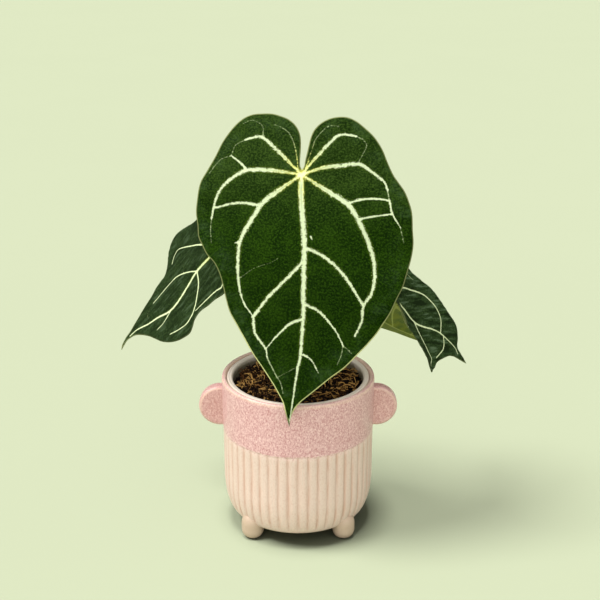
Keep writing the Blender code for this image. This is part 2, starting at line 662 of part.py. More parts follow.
def make_petiole(key, group):
    leaf = LEAVES[key]
    blade = Blade(leaf)
    origin = np.zeros(1)
    normal = blade.normal(origin, origin)[0]
    end = blade.at(origin, origin)[0] - normal * (BLADE_THICKNESS + VEIN_RIDGE + GAP) / MM
    foot_x, foot_y = leaf["foot"]
    start = [(foot_x, foot_y, PETIOLE_FOOT / MM + rise) for rise in PETIOLE_RISES]
    knee = [tuple(end - normal * KNEE_RISE), tuple(end)]
    path = even(spline(start + leaf["route"] + knee, DRAWING_STEP), PETIOLE_STEP)
    length = float(np.linalg.norm(np.diff(path, axis=0), axis=1).sum()) * MM
    curve = bpy.data.curves.new("petiole_" + key, "CURVE")
    curve.dimensions = "3D"
    curve.bevel_depth = PETIOLE_RADIUS
    curve.bevel_resolution = 3
    curve.use_fill_caps = True
    line = curve.splines.new("POLY")
    line.points.add(len(path) - 1)
    for i, point in enumerate(path):
        along = length * i / (len(path) - 1)
        foot_share = max(0.0, 1 - along / PETIOLE_FOOT_TAPER)
        knee_share = min(1.0, max(0.0, 1 - (length - along - KNEE_START) / KNEE_LENGTH))
        radius = PETIOLE_RADIUS + (PETIOLE_FOOT_RADIUS - PETIOLE_RADIUS) * foot_share
        radius += (PETIOLE_KNEE_RADIUS - PETIOLE_RADIUS) * knee_share
        line.points[i].co = (*(point * MM), 1.0)
        line.points[i].radius = radius / PETIOLE_RADIUS
    obj = bpy.data.objects.new("petiole_" + key, curve)
    group.objects.link(obj)
    petiole = applied(obj)
    petiole.name = "petiole_" + key
    petiole.data.materials.append(material("stalk_" + key, (0.25, 0.34, 0.10), 0.45))
    smooth(petiole)
    return petiole


def stand_on_origin(pieces, group):
    """Parent all to one empty and move it, so that the lowest centre of the whole object's box is the origin."""
    root = bpy.data.objects.new("plant_root", None)
    group.objects.link(root)
    for piece in pieces:
        piece.parent = root
    bpy.context.view_layer.update()
    corners = [piece.matrix_world @ Vector(corner) for piece in pieces for corner in piece.bound_box]
    low = [min(corner[i] for corner in corners) for i in range(3)]
    high = [max(corner[i] for corner in corners) for i in range(3)]
    root.location = (-(low[0] + high[0]) / 2, -(low[1] + high[1]) / 2, -low[2])


def main():
    clear_scene()
    group = collection("potted_anthurium")
    pieces = [make_cover_pot(group), make_grow_pot(group), make_soil(group), make_crown(group)]
    for key in LEAVES:
        pieces.append(make_petiole(key, group))
        pieces.append(make_leaf(key, group))
    stand_on_origin(pieces, group)


main()
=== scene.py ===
"""Looks of the potted anthurium: glazed cover pot, nursery pot, coir mix, stalks and veined leaves."""

import json
import math
from itertools import combinations

import bpy
import numpy as np
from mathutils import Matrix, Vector, noise
from mathutils.geometry import delaunay_2d_cdt
from mathutils.kdtree import KDTree

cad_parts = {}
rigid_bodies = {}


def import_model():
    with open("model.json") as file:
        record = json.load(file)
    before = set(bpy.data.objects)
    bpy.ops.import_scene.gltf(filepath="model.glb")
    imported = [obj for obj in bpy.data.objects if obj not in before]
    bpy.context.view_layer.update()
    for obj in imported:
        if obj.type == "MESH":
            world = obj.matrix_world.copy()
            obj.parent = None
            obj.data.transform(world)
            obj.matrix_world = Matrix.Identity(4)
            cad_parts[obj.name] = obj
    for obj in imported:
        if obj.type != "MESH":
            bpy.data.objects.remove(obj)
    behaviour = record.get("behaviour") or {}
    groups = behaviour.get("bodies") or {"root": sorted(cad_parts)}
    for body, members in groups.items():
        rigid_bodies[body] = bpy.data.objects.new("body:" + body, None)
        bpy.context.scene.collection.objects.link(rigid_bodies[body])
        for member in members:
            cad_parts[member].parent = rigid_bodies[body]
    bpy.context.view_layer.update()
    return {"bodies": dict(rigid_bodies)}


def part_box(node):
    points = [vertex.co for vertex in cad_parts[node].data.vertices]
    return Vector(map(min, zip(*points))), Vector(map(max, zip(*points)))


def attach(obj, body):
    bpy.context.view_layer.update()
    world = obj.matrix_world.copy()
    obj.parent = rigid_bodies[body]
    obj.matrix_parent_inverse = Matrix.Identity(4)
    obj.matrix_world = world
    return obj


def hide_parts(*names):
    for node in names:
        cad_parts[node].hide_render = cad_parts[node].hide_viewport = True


bl_info = {
    "name": "Potted Anthurium Looks",
    "version": (1, 0, 0),
    "blender": (4, 5, 0),
    "location": "3D View > Sidebar > Anthurium",
    "description": "Dresses the packed potted anthurium with glaze, coir, stalks and veined leaves",
    "category": "Object",
}

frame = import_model()
BODY = next(iter(frame["bodies"]))

MM = 0.001
POT_LOW, POT_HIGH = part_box("cover_pot")
AXIS_X = (POT_LOW[0] + POT_HIGH[0]) / 2
AXIS_Y = (POT_LOW[1] + POT_HIGH[1]) / 2
RIM_Z = POT_HIGH[2]

# Cover pot, in the measures of its construction.
RIM_RADIUS = 66.6 * MM
BODY_RADIUS = 66.0 * MM
LIP_WIDTH = 4.1 * MM
FOOT_HEIGHT = 12.0 * MM
CORNER_IN = 10.9 * MM
CORNER_UP = 32.1 * MM
GLAZE_Z = RIM_Z - 48.2 * MM
# The glaze's lower edge wanders by up to half of this to either side.
GLAZE_WANDER = 9.0 * MM
CAVITY_RADIUS = RIM_RADIUS - LIP_WIDTH
CAVITY_FLOOR = FOOT_HEIGHT + 5.0 * MM
RIBS = 48
GROOVE_PLACES = (-0.5, -0.37, -0.24, -0.15, -0.1, -0.05, 0.0, 0.05, 0.1, 0.15, 0.24, 0.37)
EAR_RADIUS = 18.5 * MM
EAR_OUT = 68.6 * MM
EAR_Z = RIM_Z - 29.0 * MM
EAR_HALF = 6.0 * MM
EAR_ROUNDING = 3.0 * MM
FOOT_RADIUS = 9.75 * MM
FOOT_SPOT = 4.0 * MM
FOOT_OFFSET = 39.8 * MM
FOOT_ROUNDING = 8.0 * MM
FOOT_SHOULDER = 13.0 * MM
FOOT_DOME = 9.0 * MM

# Nursery pot and what fills it.
GROW_OUTER = 62.1 * MM
GROW_INNER = 57.0 * MM
GROW_TOP = RIM_Z - 0.7 * MM
GROW_RIM = GROW_TOP - 8.0 * MM
GROW_BASE = 46.0 * MM
GROW_FLOOR = CAVITY_FLOOR + 0.3 * MM
SOIL_Z = RIM_Z - 8.5 * MM
SOIL_RADIUS = 56.4 * MM
CROWN_RADIUS = 11.5 * MM
CROWN_TOP = SOIL_Z + 4.0 * MM
# How deep the bed and its crumbs lie where the surface is hollow.
CRUMB_DROP = 2.6 * MM
CRUMB_SEED = 7
FIBRE_SEED = 11

# Relief of the leaves, in millimetres: how far the quilting and a keel reach from a vein, half of the widest
# vein, the height of the ripples near the margin, and how far the margin rolls down.
QUILT_REACH = 6.0
KEEL_REACH = 1.9
WIDEST_HALF = 2.3
RIPPLE = 0.22
MARGIN_ROLL = 0.35

# The camera stands a metre from a point at this height on the pot's axis, this angle above it and this far
# to its side, and looks down by the last angle.
AIM_Z = 135.4 * MM
CAMERA_RISE = math.radians(24.08)
CAMERA_SIDE = 1.67 * MM
CAMERA_DIP = math.radians(20.26)
LENS = 68.46
FLOOR_REACH = 12.0

# The key and the fill light the plant alone, the cast and the top light the floor alone.
KEY_WAY = Vector((0.64, 0.08, -0.76)).normalized()
KEY_COLOUR = (1.0, 0.98, 0.94)
KEY_ANGLE = math.radians(36)
CAST_WAY = Vector((0.58, 0.09, -1.0)).normalized()
CAST_ANGLE = math.radians(24)
TOP_WAY = Vector((0.06, 0.02, -1.0)).normalized()
TOP_ANGLE = math.radians(16)
SKY_COLOUR = (1.0, 0.99, 0.97)
FILL_WAY = Vector((-0.05, 0.8, -0.55)).normalized()
FILL_ANGLE = math.radians(80)
SKY_WAY = Vector((-0.1, -0.25, 0.96)).normalized()
SKY_SPREAD = (0.0, 1.0)
SKY_LEAST = 0.03

# Each leaf is drawn flat in millimetres, u across and v from the junction down to the tip. It lies on a
# plane through junction and tip, turned by roll about that line, and is bowed, curled and waved off it. Its
# weft is the turn in degrees, the two rates per millimetre and the height in millimetres of its soft ridges.
# Its shade is (how much lighter or darker its upper face is painted for how the light falls on it, strength
# of the painted sheen and shade on its ridges), and its sag is (depth, place, reach).
# Junction, tip and the stalk's foot and route are in millimetres from the pot's axis. A vein is (width at
# start, width at end, how full its colour is, points).
LEAVES = {
    "front": {
        "junction": (2.9, 4.0, 314.9),
        "tip": (-7.0, -80.0, 125.9),
        "roll": 0.0,
        "bow": 9.0,
        "curl": 3.5,
        "wave": 1.6,
        "weft": (0, 0.11, 0.11, 0.3),
        "shade": (1.0, 1.0),
        "foot": (0.0, -4.5),
        "route": [(1, 6, 160), (2, 20, 205), (3, 27, 250), (4, 23, 290)],
        "edge_plus": [
            (0, -4.2), (1.7, -8), (2, -14), (2, -23), (2.8, -32), (4.8, -38), (8.5, -43.5), (14, -48),
            (21, -51), (29, -53), (37, -53), (46, -52), (54, -48), (62, -40), (70, -28), (75, -15),
            (80, -3), (85, 8), (87, 20), (88, 33), (86, 44), (84, 54), (80, 61), (75, 69), (68, 76),
            (63, 85), (60, 94), (57, 105), (53, 116), (46, 127), (39, 138), (32, 149), (23, 161),
            (15, 172), (10, 180), (6, 187), (4, 194), (2, 201), (0, 207),
        ],
        "edge_minus": [
            (0, -4.2), (-1.7, -7), (-2.2, -12), (-3.4, -19), (-6, -34), (-10, -42), (-17, -48), (-25, -51),
            (-34, -51.5), (-42, -48.5), (-50, -42.5), (-58, -35), (-65, -25), (-70, -14), (-75, -4),
            (-80, 3), (-85, 10), (-89, 19), (-92, 29), (-93, 42), (-94, 53), (-93, 64), (-90, 78),
            (-87, 90), (-83, 99), (-78, 111), (-72, 121), (-67, 129), (-60, 138), (-53, 146), (-43, 157),
            (-33, 165), (-25, 172), (-17, 179), (-9, 186), (-4, 192), (-1, 199), (0, 207),
        ],
        "veins": [
            (4.0, 0.5, 1.0, [
                (0, 0), (-1, 19), (-4, 42), (-6, 61), (-7, 91), (-8, 118), (-7, 147), (-5, 161), (-3, 178),
                (-1, 195), (0, 203),
            ]),
            (3.0, 1.5, 1.0, [(0, 0), (21, -20), (35, -32), (43, -32), (50, -30)]),
            (0.7, 0.5, 0.43, [(50, -30), (58, -25), (61, -16)]),
            (0.7, 0.5, 0.42, [(35, -32), (36, -42), (45, -47), (53, -44)]),
            (3.5, 1.3, 1.0, [(0, 0), (24, -3), (46, -3), (58, 4), (66, 12), (71, 22), (74, 38)]),
            (0.7, 0.4, 0.43, [(74, 38), (74, 47), (72, 59)]),
            (1.7, 0.7, 0.75, [(46, -3), (53, -10), (61, -16)]),
            (0.7, 0.5, 0.42, [(61, -16), (70, -12), (78, 0)]),
            (3.9, 0.8, 1.0, [
                (0, 0), (18, 14), (30, 24), (36, 33), (44, 48), (48, 59), (48, 78), (46, 95), (42, 107),
                (34, 118),
            ]),
            (2.0, 0.9, 1.0, [(33, 119), (31, 132), (22, 144), (20, 152)]),
            (0.9, 0.5, 0.5, [(20, 152), (13, 164), (8, 172), (6, 180)]),
            (0.9, 0.3, 0.8, [(47, 58), (50, 58), (52, 59)]),
            (0.5, 0.4, 0.37, [(46, 88), (42, 85), (33, 79), (22, 75), (15, 71)]),
            (1.1, 0.5, 1.0, [(-10.6, 51.5), (-11.2, 52.8), (-11.9, 53.8)]),
            (2.0, 1.3, 1.0, [(33, 27), (47, 25), (58, 26), (70, 29)]),
            (2.1, 2.1, 1.0, [(-5, 73), (5, 85), (21, 102), (33, 119)]),
            (1.9, 0.6, 1.0, [(-8, 119), (3, 124), (13, 134), (21, 144)]),
            (0.6, 0.3, 0.4, [(-5, 158), (4, 163), (12, 168)]),
            (3.0, 1.3, 1.0, [(0, 0), (-14, -19), (-27, -34), (-36, -36), (-43, -35)]),
            (0.7, 0.5, 0.44, [(-43, -35), (-49, -32), (-52, -26), (-46, -13)]),
            (0.7, 0.5, 0.42, [
                (-28, -43), (-20, -43), (-14, -37), (-9.5, -30), (-7, -20), (-4.8, -13), (-3, -7),
            ]),
            (3.5, 1.3, 1.0, [(0, 0), (-19, -7), (-33, -9), (-47, -11), (-59, -4), (-68, 3), (-71, 10)]),
            (0.7, 0.7, 0.5, [(-71, 10), (-73, 19)]),
            (1.5, 0.7, 1.0, [(-73, 19), (-76, 30), (-83, 41)]),
            (0.7, 0.5, 0.45, [(-83, 41), (-86, 53)]),
            (3.8, 1.3, 1.0, [
                (0, 0), (-20, 12), (-37, 22), (-46, 32), (-55, 49), (-62, 67), (-64, 84), (-62, 96),
                (-56, 107), (-55, 119), (-50, 131),
            ]),
            (1.8, 1.2, 1.0, [(-39, 23), (-51, 19), (-64, 18), (-73, 19)]),
            (1.4, 1.0, 0.8, [(-48, 36), (-60, 33), (-76, 30)]),
            (2.3, 1.5, 1.0, [(-6, 61), (-21, 67), (-36, 79), (-47, 93), (-56, 107)]),
            (1.9, 0.8, 0.9, [(-8, 107), (-21, 113), (-34, 127), (-41, 139)]),
            (0.8, 0.5, 0.46, [(-41, 139), (-40, 147), (-37, 155)]),
            (0.6, 0.5, 0.42, [(-41, 139), (-48, 145)]),
            (1.3, 0.5, 0.8, [(-7, 147), (-16, 152), (-22, 162)]),
            (0.7, 0.5, 0.45, [
                (2.5, -3), (3.7, -8), (4.8, -15), (7.3, -25), (10, -31), (13.5, -36.5), (20, -41),
                (26, -43),
            ]),
        ],
    },
    "left": {
        "junction": (-68.5, 30.0, 244.3),
        "tip": (-162.4, 58.0, 135.9),
        "roll": 39.0,
        "bow": -5.0,
        "curl": 2.0,
        "wave": 0.0,
        "weft": (0, 0.06, 0.28, 0.35),
        "shade": (0.84, 0.7),
        "foot": (-6.5, 1.5),
        "route": [(-12, 8, 155), (-24, 20, 186), (-40, 33, 215), (-54, 38, 234)],
        "edge_plus": [
            (0, -10), (2, -16), (5, -24), (8, -31), (13, -36), (21, -40), (29, -39), (38, -35), (46, -26),
            (52, -14), (56, -2), (59, 12), (62, 26), (69, 39), (74, 50), (74, 57), (69, 64), (62, 68),
            (52, 71), (43, 74), (38, 78), (37, 83), (35, 89), (31, 97), (27, 106), (22, 115), (17, 124),
            (13, 132), (10, 139), (5, 144), (0, 146),
        ],
        "edge_minus": [
            (0, -10), (-2, -16), (-5, -24), (-8, -31), (-13, -36), (-20, -38), (-27, -36), (-34, -30),
            (-41, -20), (-46, -8), (-48, 3), (-47, 12), (-43, 23), (-41, 33), (-38, 42), (-38, 48),
            (-40, 53), (-44, 57), (-47, 61), (-47, 66), (-45, 73), (-42, 80), (-37, 88), (-29, 97),
            (-20, 104), (-11, 111), (-2, 120), (4, 128), (6, 134), (6, 138), (3, 142), (0, 146),
        ],
        "veins": [
            (2.7, 0.9, 1.0, [
                (0, 0), (2, 15), (4, 35), (0, 50), (-4, 63), (-6, 74), (-5, 83), (0, 96), (3, 109),
                (8, 124), (8, 134),
            ]),
            (1.2, 0.7, 1.0, [(4, 35), (12, 44), (19, 54), (23, 62), (24, 69), (23, 83), (21, 98)]),
            (1.5, 0.8, 1.0, [
                (4, 35), (-10, 37), (-22, 44), (-29, 50), (-33, 56), (-35, 64), (-33, 74), (-29, 86),
            ]),
            (1.6, 0.7, 1.0, [(0, 0), (26, 22), (39, 36), (53, 54), (50, 62), (44, 66)]),
            (1.6, 0.7, 0.9, [(0, 0), (-20, 0), (-38, 9), (-36, 19), (-34, 30), (-32, 49)]),
            (2.2, 0.8, 1.0, [(0, 0), (10, -18), (24, -28), (36, -22)]),
            (2.2, 0.8, 1.0, [(0, 0), (-9, -17), (-20, -27), (-30, -20)]),
            (1.0, 0.5, 0.8, [(-6, 78), (-11, 90), (-12, 100)]),
            (0.6, 0.4, 0.3, [(21, 98), (14, 106), (7, 108)]),
            (0.5, 0.4, 0.25, [(-14, 36), (-17, 24), (-22, 14)]),
            (0.5, 0.4, 0.25, [(17, 52), (26, 50), (36, 46)]),
            (0.5, 0.4, 0.25, [(22, 66), (32, 62), (44, 54)]),
        ],
    },
    "right": {
        "junction": (79.4, 26.0, 208.9),
        "tip": (156.2, 66.0, 118.6),
        "roll": -52.0,
        "bow": 2.0,
        "curl": 2.0,
        "wave": 0.0,
        "weft": (-36, 0.05, 0.25, 0.6),
        "shade": (1.12, 1.1),
        "foot": (6.5, 1.5),
        "route": [(10, 9, 150), (26, 22, 172), (48, 34, 190), (66, 36, 202)],
        "sag": (9.0, 30.0, 26.0),
        "fold": 0.62,
        "edge_plus": [
            (0, -8), (2, -13), (4, -20), (7, -26), (12, -30), (18, -31), (25, -28), (31, -21), (35, -11),
            (36, 0), (34, 12), (31, 22), (29, 32), (30, 42), (33, 49), (36, 55), (40, 60), (46, 62),
            (52, 63), (46, 70), (40, 76), (34, 80), (29, 81), (24, 84), (17, 90), (10, 97), (7, 102),
            (5, 106), (3, 114), (0, 125),
        ],
        "edge_minus": [
            (0, -8), (-2, -13), (-4, -20), (-7, -26), (-12, -30), (-19, -32), (-27, -31), (-34, -25),
            (-40, -15), (-44, -4), (-46, 8), (-46, 20), (-45, 31), (-43, 45), (-42, 52), (-40, 60),
            (-37, 67), (-34, 76), (-31, 85), (-29, 94), (-26, 100), (-21, 103), (-14, 105), (-8, 107),
            (-5, 111), (-3, 118), (0, 125),
        ],
        "veins": [
            (1.8, 0.8, 1.0, [
                (0, 0), (-2, 19), (-1, 33), (5, 46), (4, 56), (0, 67), (-3, 78), (-4, 92), (-4, 104),
                (-1, 110),
            ]),
            (1.2, 0.7, 1.0, [(5, 46), (15, 55), (24, 67), (29, 74), (38, 72)]),
            (1.2, 0.8, 1.0, [(-3, 84), (8, 87), (23, 80)]),
            (1.5, 1.1, 1.0, [
                (0, 0), (-20, 25), (-26, 38), (-29, 49), (-28, 58), (-24, 69), (-17, 76), (-4, 79),
            ]),
            (2.2, 0.8, 1.0, [(0, 0), (16, 3), (25, 14), (26, 28)]),
            (1.0, 0.5, 0.5, [(0, 0), (-18, -5), (-31, 4), (-37, 22), (-37, 36)]),
            (2.0, 0.8, 1.0, [(0, 0), (9, -16), (19, -21), (27, -12)]),
            (2.0, 0.8, 1.0, [(0, 0), (-10, -17), (-22, -22), (-32, -14)]),
        ],
    },
    "back": {
        "junction": (62.6, 112.0, 185.4),
        "tip": (151.2, 165.0, 88.8),
        "roll": 35.0,
        "bow": 5.0,
        "curl": 2.5,
        "wave": 1.2,
        "weft": (0, 0.11, 0.11, 0.4),
        "shade": (1.0, 1.0),
        "foot": (0.5, 7.0),
        "route": [(4, 17, 148), (15, 40, 163), (32, 68, 172), (49, 92, 177)],
        "edge_plus": [
            (0, -8), (2, -14), (4, -21), (7, -28), (12, -33), (19, -36), (26, -34), (33, -28), (39, -18),
            (43, -6), (46, 8), (47, 24), (46, 40), (43, 56), (38, 70), (32, 83), (25, 96), (18, 109),
            (11, 121), (5, 131), (2, 136), (0, 141),
        ],
        "edge_minus": [
            (0, -8), (-2, -14), (-4, -21), (-7, -28), (-12, -33), (-19, -36), (-27, -34), (-34, -28),
            (-41, -18), (-47, -6), (-51, 8), (-53, 24), (-53, 40), (-51, 56), (-47, 70), (-41, 81),
            (-36, 89), (-30, 98), (-19, 114), (-9, 127), (-3, 135), (0, 141),
        ],
        "veins": [
            (3.2, 1.0, 1.0, [(0, 0), (1, 28), (-2, 56), (-3, 84), (-2, 110), (0, 132)]),
            (2.0, 0.8, 1.0, [(0, 0), (14, -13), (25, -21), (34, -14)]),
            (2.0, 0.8, 1.0, [(0, 0), (-14, -13), (-26, -21), (-36, -13)]),
            (2.2, 0.8, 1.0, [(0, 0), (18, 0), (32, 9), (38, 24), (38, 40)]),
            (2.2, 0.8, 1.0, [(0, 0), (-19, 0), (-35, 7), (-43, 24), (-44, 44), (-41, 58)]),
            (2.4, 0.9, 1.0, [(0, 0), (13, 13), (23, 28), (27, 48), (26, 68), (18, 86)]),
            (2.4, 0.9, 1.0, [(0, 0), (-14, 13), (-25, 30), (-31, 52), (-30, 72), (-24, 92), (-15, 108)]),
            (1.8, 0.8, 1.0, [(-2, 50), (10, 58), (22, 76)]),
            (1.8, 0.8, 1.0, [(-2, 54), (-14, 65), (-27, 84)]),
            (1.4, 0.7, 0.9, [(-3, 86), (7, 95), (13, 104)]),
            (1.4, 0.7, 0.9, [(-3, 90), (-11, 99), (-19, 104)]),
        ],
    },
}
# A leaf with a fold bends up beyond these lines, each (a point on the line, the way across it).
FOLD_LINES = (((-3, 20), (0.956, -0.294)), ((5, 46), (0.730, -0.683)))


def tint(red, green, blue):
    """The linear colour of a display colour given from 0 to 255."""
    values = (value / 255 for value in (red, green, blue))
    return tuple(value / 12.92 if value < 0.04045 else ((value + 0.055) / 1.055) ** 2.4 for value in values)


def colour_property(name, description, *display):
    """A colour setting whose usual value is a display colour given from 0 to 255."""
    return bpy.props.FloatVectorProperty(
        name=name, description=description, default=tint(*display), size=3, min=0.0, max=1.0, subtype="COLOR"
    )


def length_property(name, description, millimetres):
    return bpy.props.FloatProperty(
        name=name, description=description, default=millimetres * MM, min=0.0, unit="LENGTH", precision=5
    )


def strength_property(name, description, strength):
    return bpy.props.FloatProperty(name=name, description=description, default=strength, min=0.0)


class PotSettings(bpy.types.PropertyGroup):
    """Sizes and colours of the cover pot and the nursery pot."""

    groove_depth: length_property("Groove depth", "Depth of the grooves between the ribs", 0.7)
    glaze_step: length_property("Glaze step", "How far the glaze stands proud of the bare clay", 0.25)
    fillet: length_property("Fillet", "Radius where lugs and feet run into the body", 1.6)
    glaze: colour_property("Glaze", "Main colour of the glaze", 218, 172, 172)
    glaze_dark: colour_property("Dark speckle", "Rose speckle in the glaze", 184, 118, 118)
    glaze_light: colour_property("Light speckle", "Cream speckle in the glaze", 246, 215, 210)
    # Cream where the glaze breaks over the lip's outer shoulder, which is partly a painted highlight; the
    # same colour paints highlights on the lugs' rims and painted light on the lip's top and inner side.
    glaze_break_and_highlight: colour_property("Thin glaze", "Glaze where it breaks over an edge", 236, 206, 183)
    clay: colour_property("Clay", "Cream body below the glaze", 225, 202, 189)
    # Painted shade: this colour darkens the grooves between the ribs, and it also tints random dark specks
    # in the clay.
    groove: colour_property("Groove", "Tone that gathers in the grooves", 204, 166, 148)
    plastic: colour_property("Nursery pot", "Colour of the nursery pot", 226, 213, 197)


class SoilSettings(bpy.types.PropertyGroup):
    """The coir mix in the nursery pot and the crown in it."""

    crumbs: bpy.props.IntProperty(name="Crumbs", description="Number of loose crumbs", default=1700, min=0)
    fibres: bpy.props.IntProperty(name="Fibres", description="Number of coir fibres", default=1900, min=0)
    crumb_size: length_property("Crumb size", "Usual size of a crumb", 3.0)
    dark: colour_property("Dark coir", "Deepest tone of the mix", 17, 6, 1)
    middle: colour_property("Brown coir", "Usual tone of the mix", 92, 56, 20)
    light: colour_property("Light coir", "Dry golden fibre", 212, 164, 92)
    bark: colour_property("Crown", "Bark of the crown", 104, 82, 48)


class LeafSettings(bpy.types.PropertyGroup):
    """Relief and colours of the leaves and their stalks."""

    quilt: length_property("Quilting", "Height of the blade between its veins", 1.4)
    thickness: length_property("Thickness", "Thickness of the blade", 0.8)
    vein_bead: length_property("Vein bead", "Height of the widest vein on the upper face", 0.3)
    vein_keel: length_property("Vein keel", "Height of the widest vein under the blade", 1.0)
    upper: colour_property("Upper face", "Dark velvety green", 16, 39, 1)
    upper_light: colour_property("Upper face, light", "Lighter patches of the upper face", 46, 75, 11)
    # Painted sheen: a silvery tint near the margin, where the velvet catches the light.
    upper_painted_sheen: colour_property("Upper face, blush", "Silvery bloom near the margin", 80, 106, 68)
    # Partly painted sheen: the side leaves are greyer because they catch the light at other angles.
    side: colour_property("Side leaves", "Greyer green of the leaves at the sides", 38, 55, 27)
    # Partly the under face's own olive, partly painted light that stands for light shining through the
    # blade.
    under: colour_property("Under face", "Olive of the under face", 112, 122, 28)
    vein: colour_property("Veins", "Pale silvery veins", 200, 214, 176)
    junction: colour_property("Junction", "Yellow where the veins meet", 226, 226, 104)
    margin: colour_property("Margin", "Pale line along the margin", 206, 210, 142)
    stalk: colour_property("Stalks", "Green of the stalks", 120, 138, 66)


class StageSettings(bpy.types.PropertyGroup):
    """Floor, light and camera."""

    floor: colour_property("Floor", "Pale floor", 224, 233, 196)
    key: strength_property("Key light", "Strength of the key light", 2.2)
    ambient: strength_property("Soft box", "Strength of the broad light from above", 1.3)
    fill: strength_property("Front fill", "Strength of the plant's own light from the front", 0.9)
    cast: strength_property("Floor key", "Strength of the floor's own key light", 9.6)
    top: strength_property("Floor top", "Strength of the floor's own light from above", 7.6)
    softness: bpy.props.FloatProperty(
        name="Softness", description="Angle that the key light fills", default=KEY_ANGLE, subtype="ANGLE"
    )
    lens: bpy.props.FloatProperty(name="Lens", description="Focal length", default=LENS, min=1.0)


def mesh_piece(name, points, faces, materials, node, attributes, slots=None):
    """A smooth mesh object that rides on the body in a node's place, with attributes for each point."""
    points = np.reshape(points, (-1, 3))
    mesh = bpy.data.meshes.new(name)
    mesh.from_pydata(points.tolist(), [], faces)
    mesh.shade_smooth()
    for key, values in attributes.items():
        values = np.asarray(values, np.float32)
        kind, field = ("FLOAT", "value") if values.size == len(points) else ("FLOAT_VECTOR", "vector")
        mesh.attributes.new(key, kind, "POINT").data.foreach_set(field, values.ravel())
    for made in materials:
        mesh.materials.append(made)
    if slots is not None:
        mesh.polygons.foreach_set("material_index", np.asarray(slots, np.int32))
    mesh.validate()
    obj = bpy.data.objects.new(name, mesh)
    bpy.context.scene.collection.objects.link(obj)
    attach(obj, BODY)
    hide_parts(node)


def grid_faces(rows, columns):
    """Quads between rows of points that each run once round."""
    faces = []
    for start in range(0, (rows - 1) * columns, columns):
        for column in range(columns):
            after = (column + 1) % columns
            faces.append((start + column, start + after, start + columns + after, start + columns + column))
    return faces


def grid_piece(name, points, slot, material, node, **attributes):
    """A piece made of rows of points that each run once round, with a face on each end row."""
    rows, columns = points.shape[:2]
    last = (rows - 1) * columns
    caps = [tuple(range(columns - 1, -1, -1)), tuple(range(last, last + columns))]
    mesh_piece(name, points, grid_faces(rows, columns) + caps, [material], node, attributes)


def round_angles(columns):
    """The angles of this many points round a circle."""
    return np.arange(columns) * math.tau / columns


def stacked(*parts):
    """The parts along the last axis of one array."""
    return np.stack(np.broadcast_arrays(*parts), axis=-1)


def about_axis(radius, angles, height):
    """Points round the pot's axis."""
    return stacked(AXIS_X + radius * np.cos(angles), AXIS_Y + radius * np.sin(angles), height)


def arc(centre, radii, start, end, steps):
    """Points of an elliptical arc in the (radius, height) plane, angles in degrees."""
    angles = np.radians(np.linspace(start, end, steps + 1))
    return [(centre[0] + radii[0] * math.cos(a), centre[1] + radii[1] * math.sin(a)) for a in angles]


def straight(start, end, steps):
    """Points of a straight run, without its start."""
    shares = np.arange(1, steps + 1) / steps
    return [(start[0] + (end[0] - start[0]) * s, start[1] + (end[1] - start[1]) * s) for s in shares]


def ease(value, low, high):
    """0 below low, 1 above high, and smooth between."""
    share = np.clip((value - low) / (high - low), 0.0, 1.0)
    return share * share * (3 - 2 * share)


def between(value, low, full, fading, high):
    """1 from full to fading, 0 below low and above high, and smooth between."""
    return ease(value, low, full) * (1 - ease(value, fading, high))


def unit(vectors):
    return vectors / np.linalg.norm(vectors, axis=-1, keepdims=True)


def waver(points, size, seed=0.0):
    """Smooth noise from -1 to 1 at each point, with features of that size."""
    offset = Vector((seed, -seed, 2 * seed))
    values = [noise.noise(Vector(point) / size + offset) for point in points.reshape(-1, 3)]
    return np.reshape(values, points.shape[:-1])


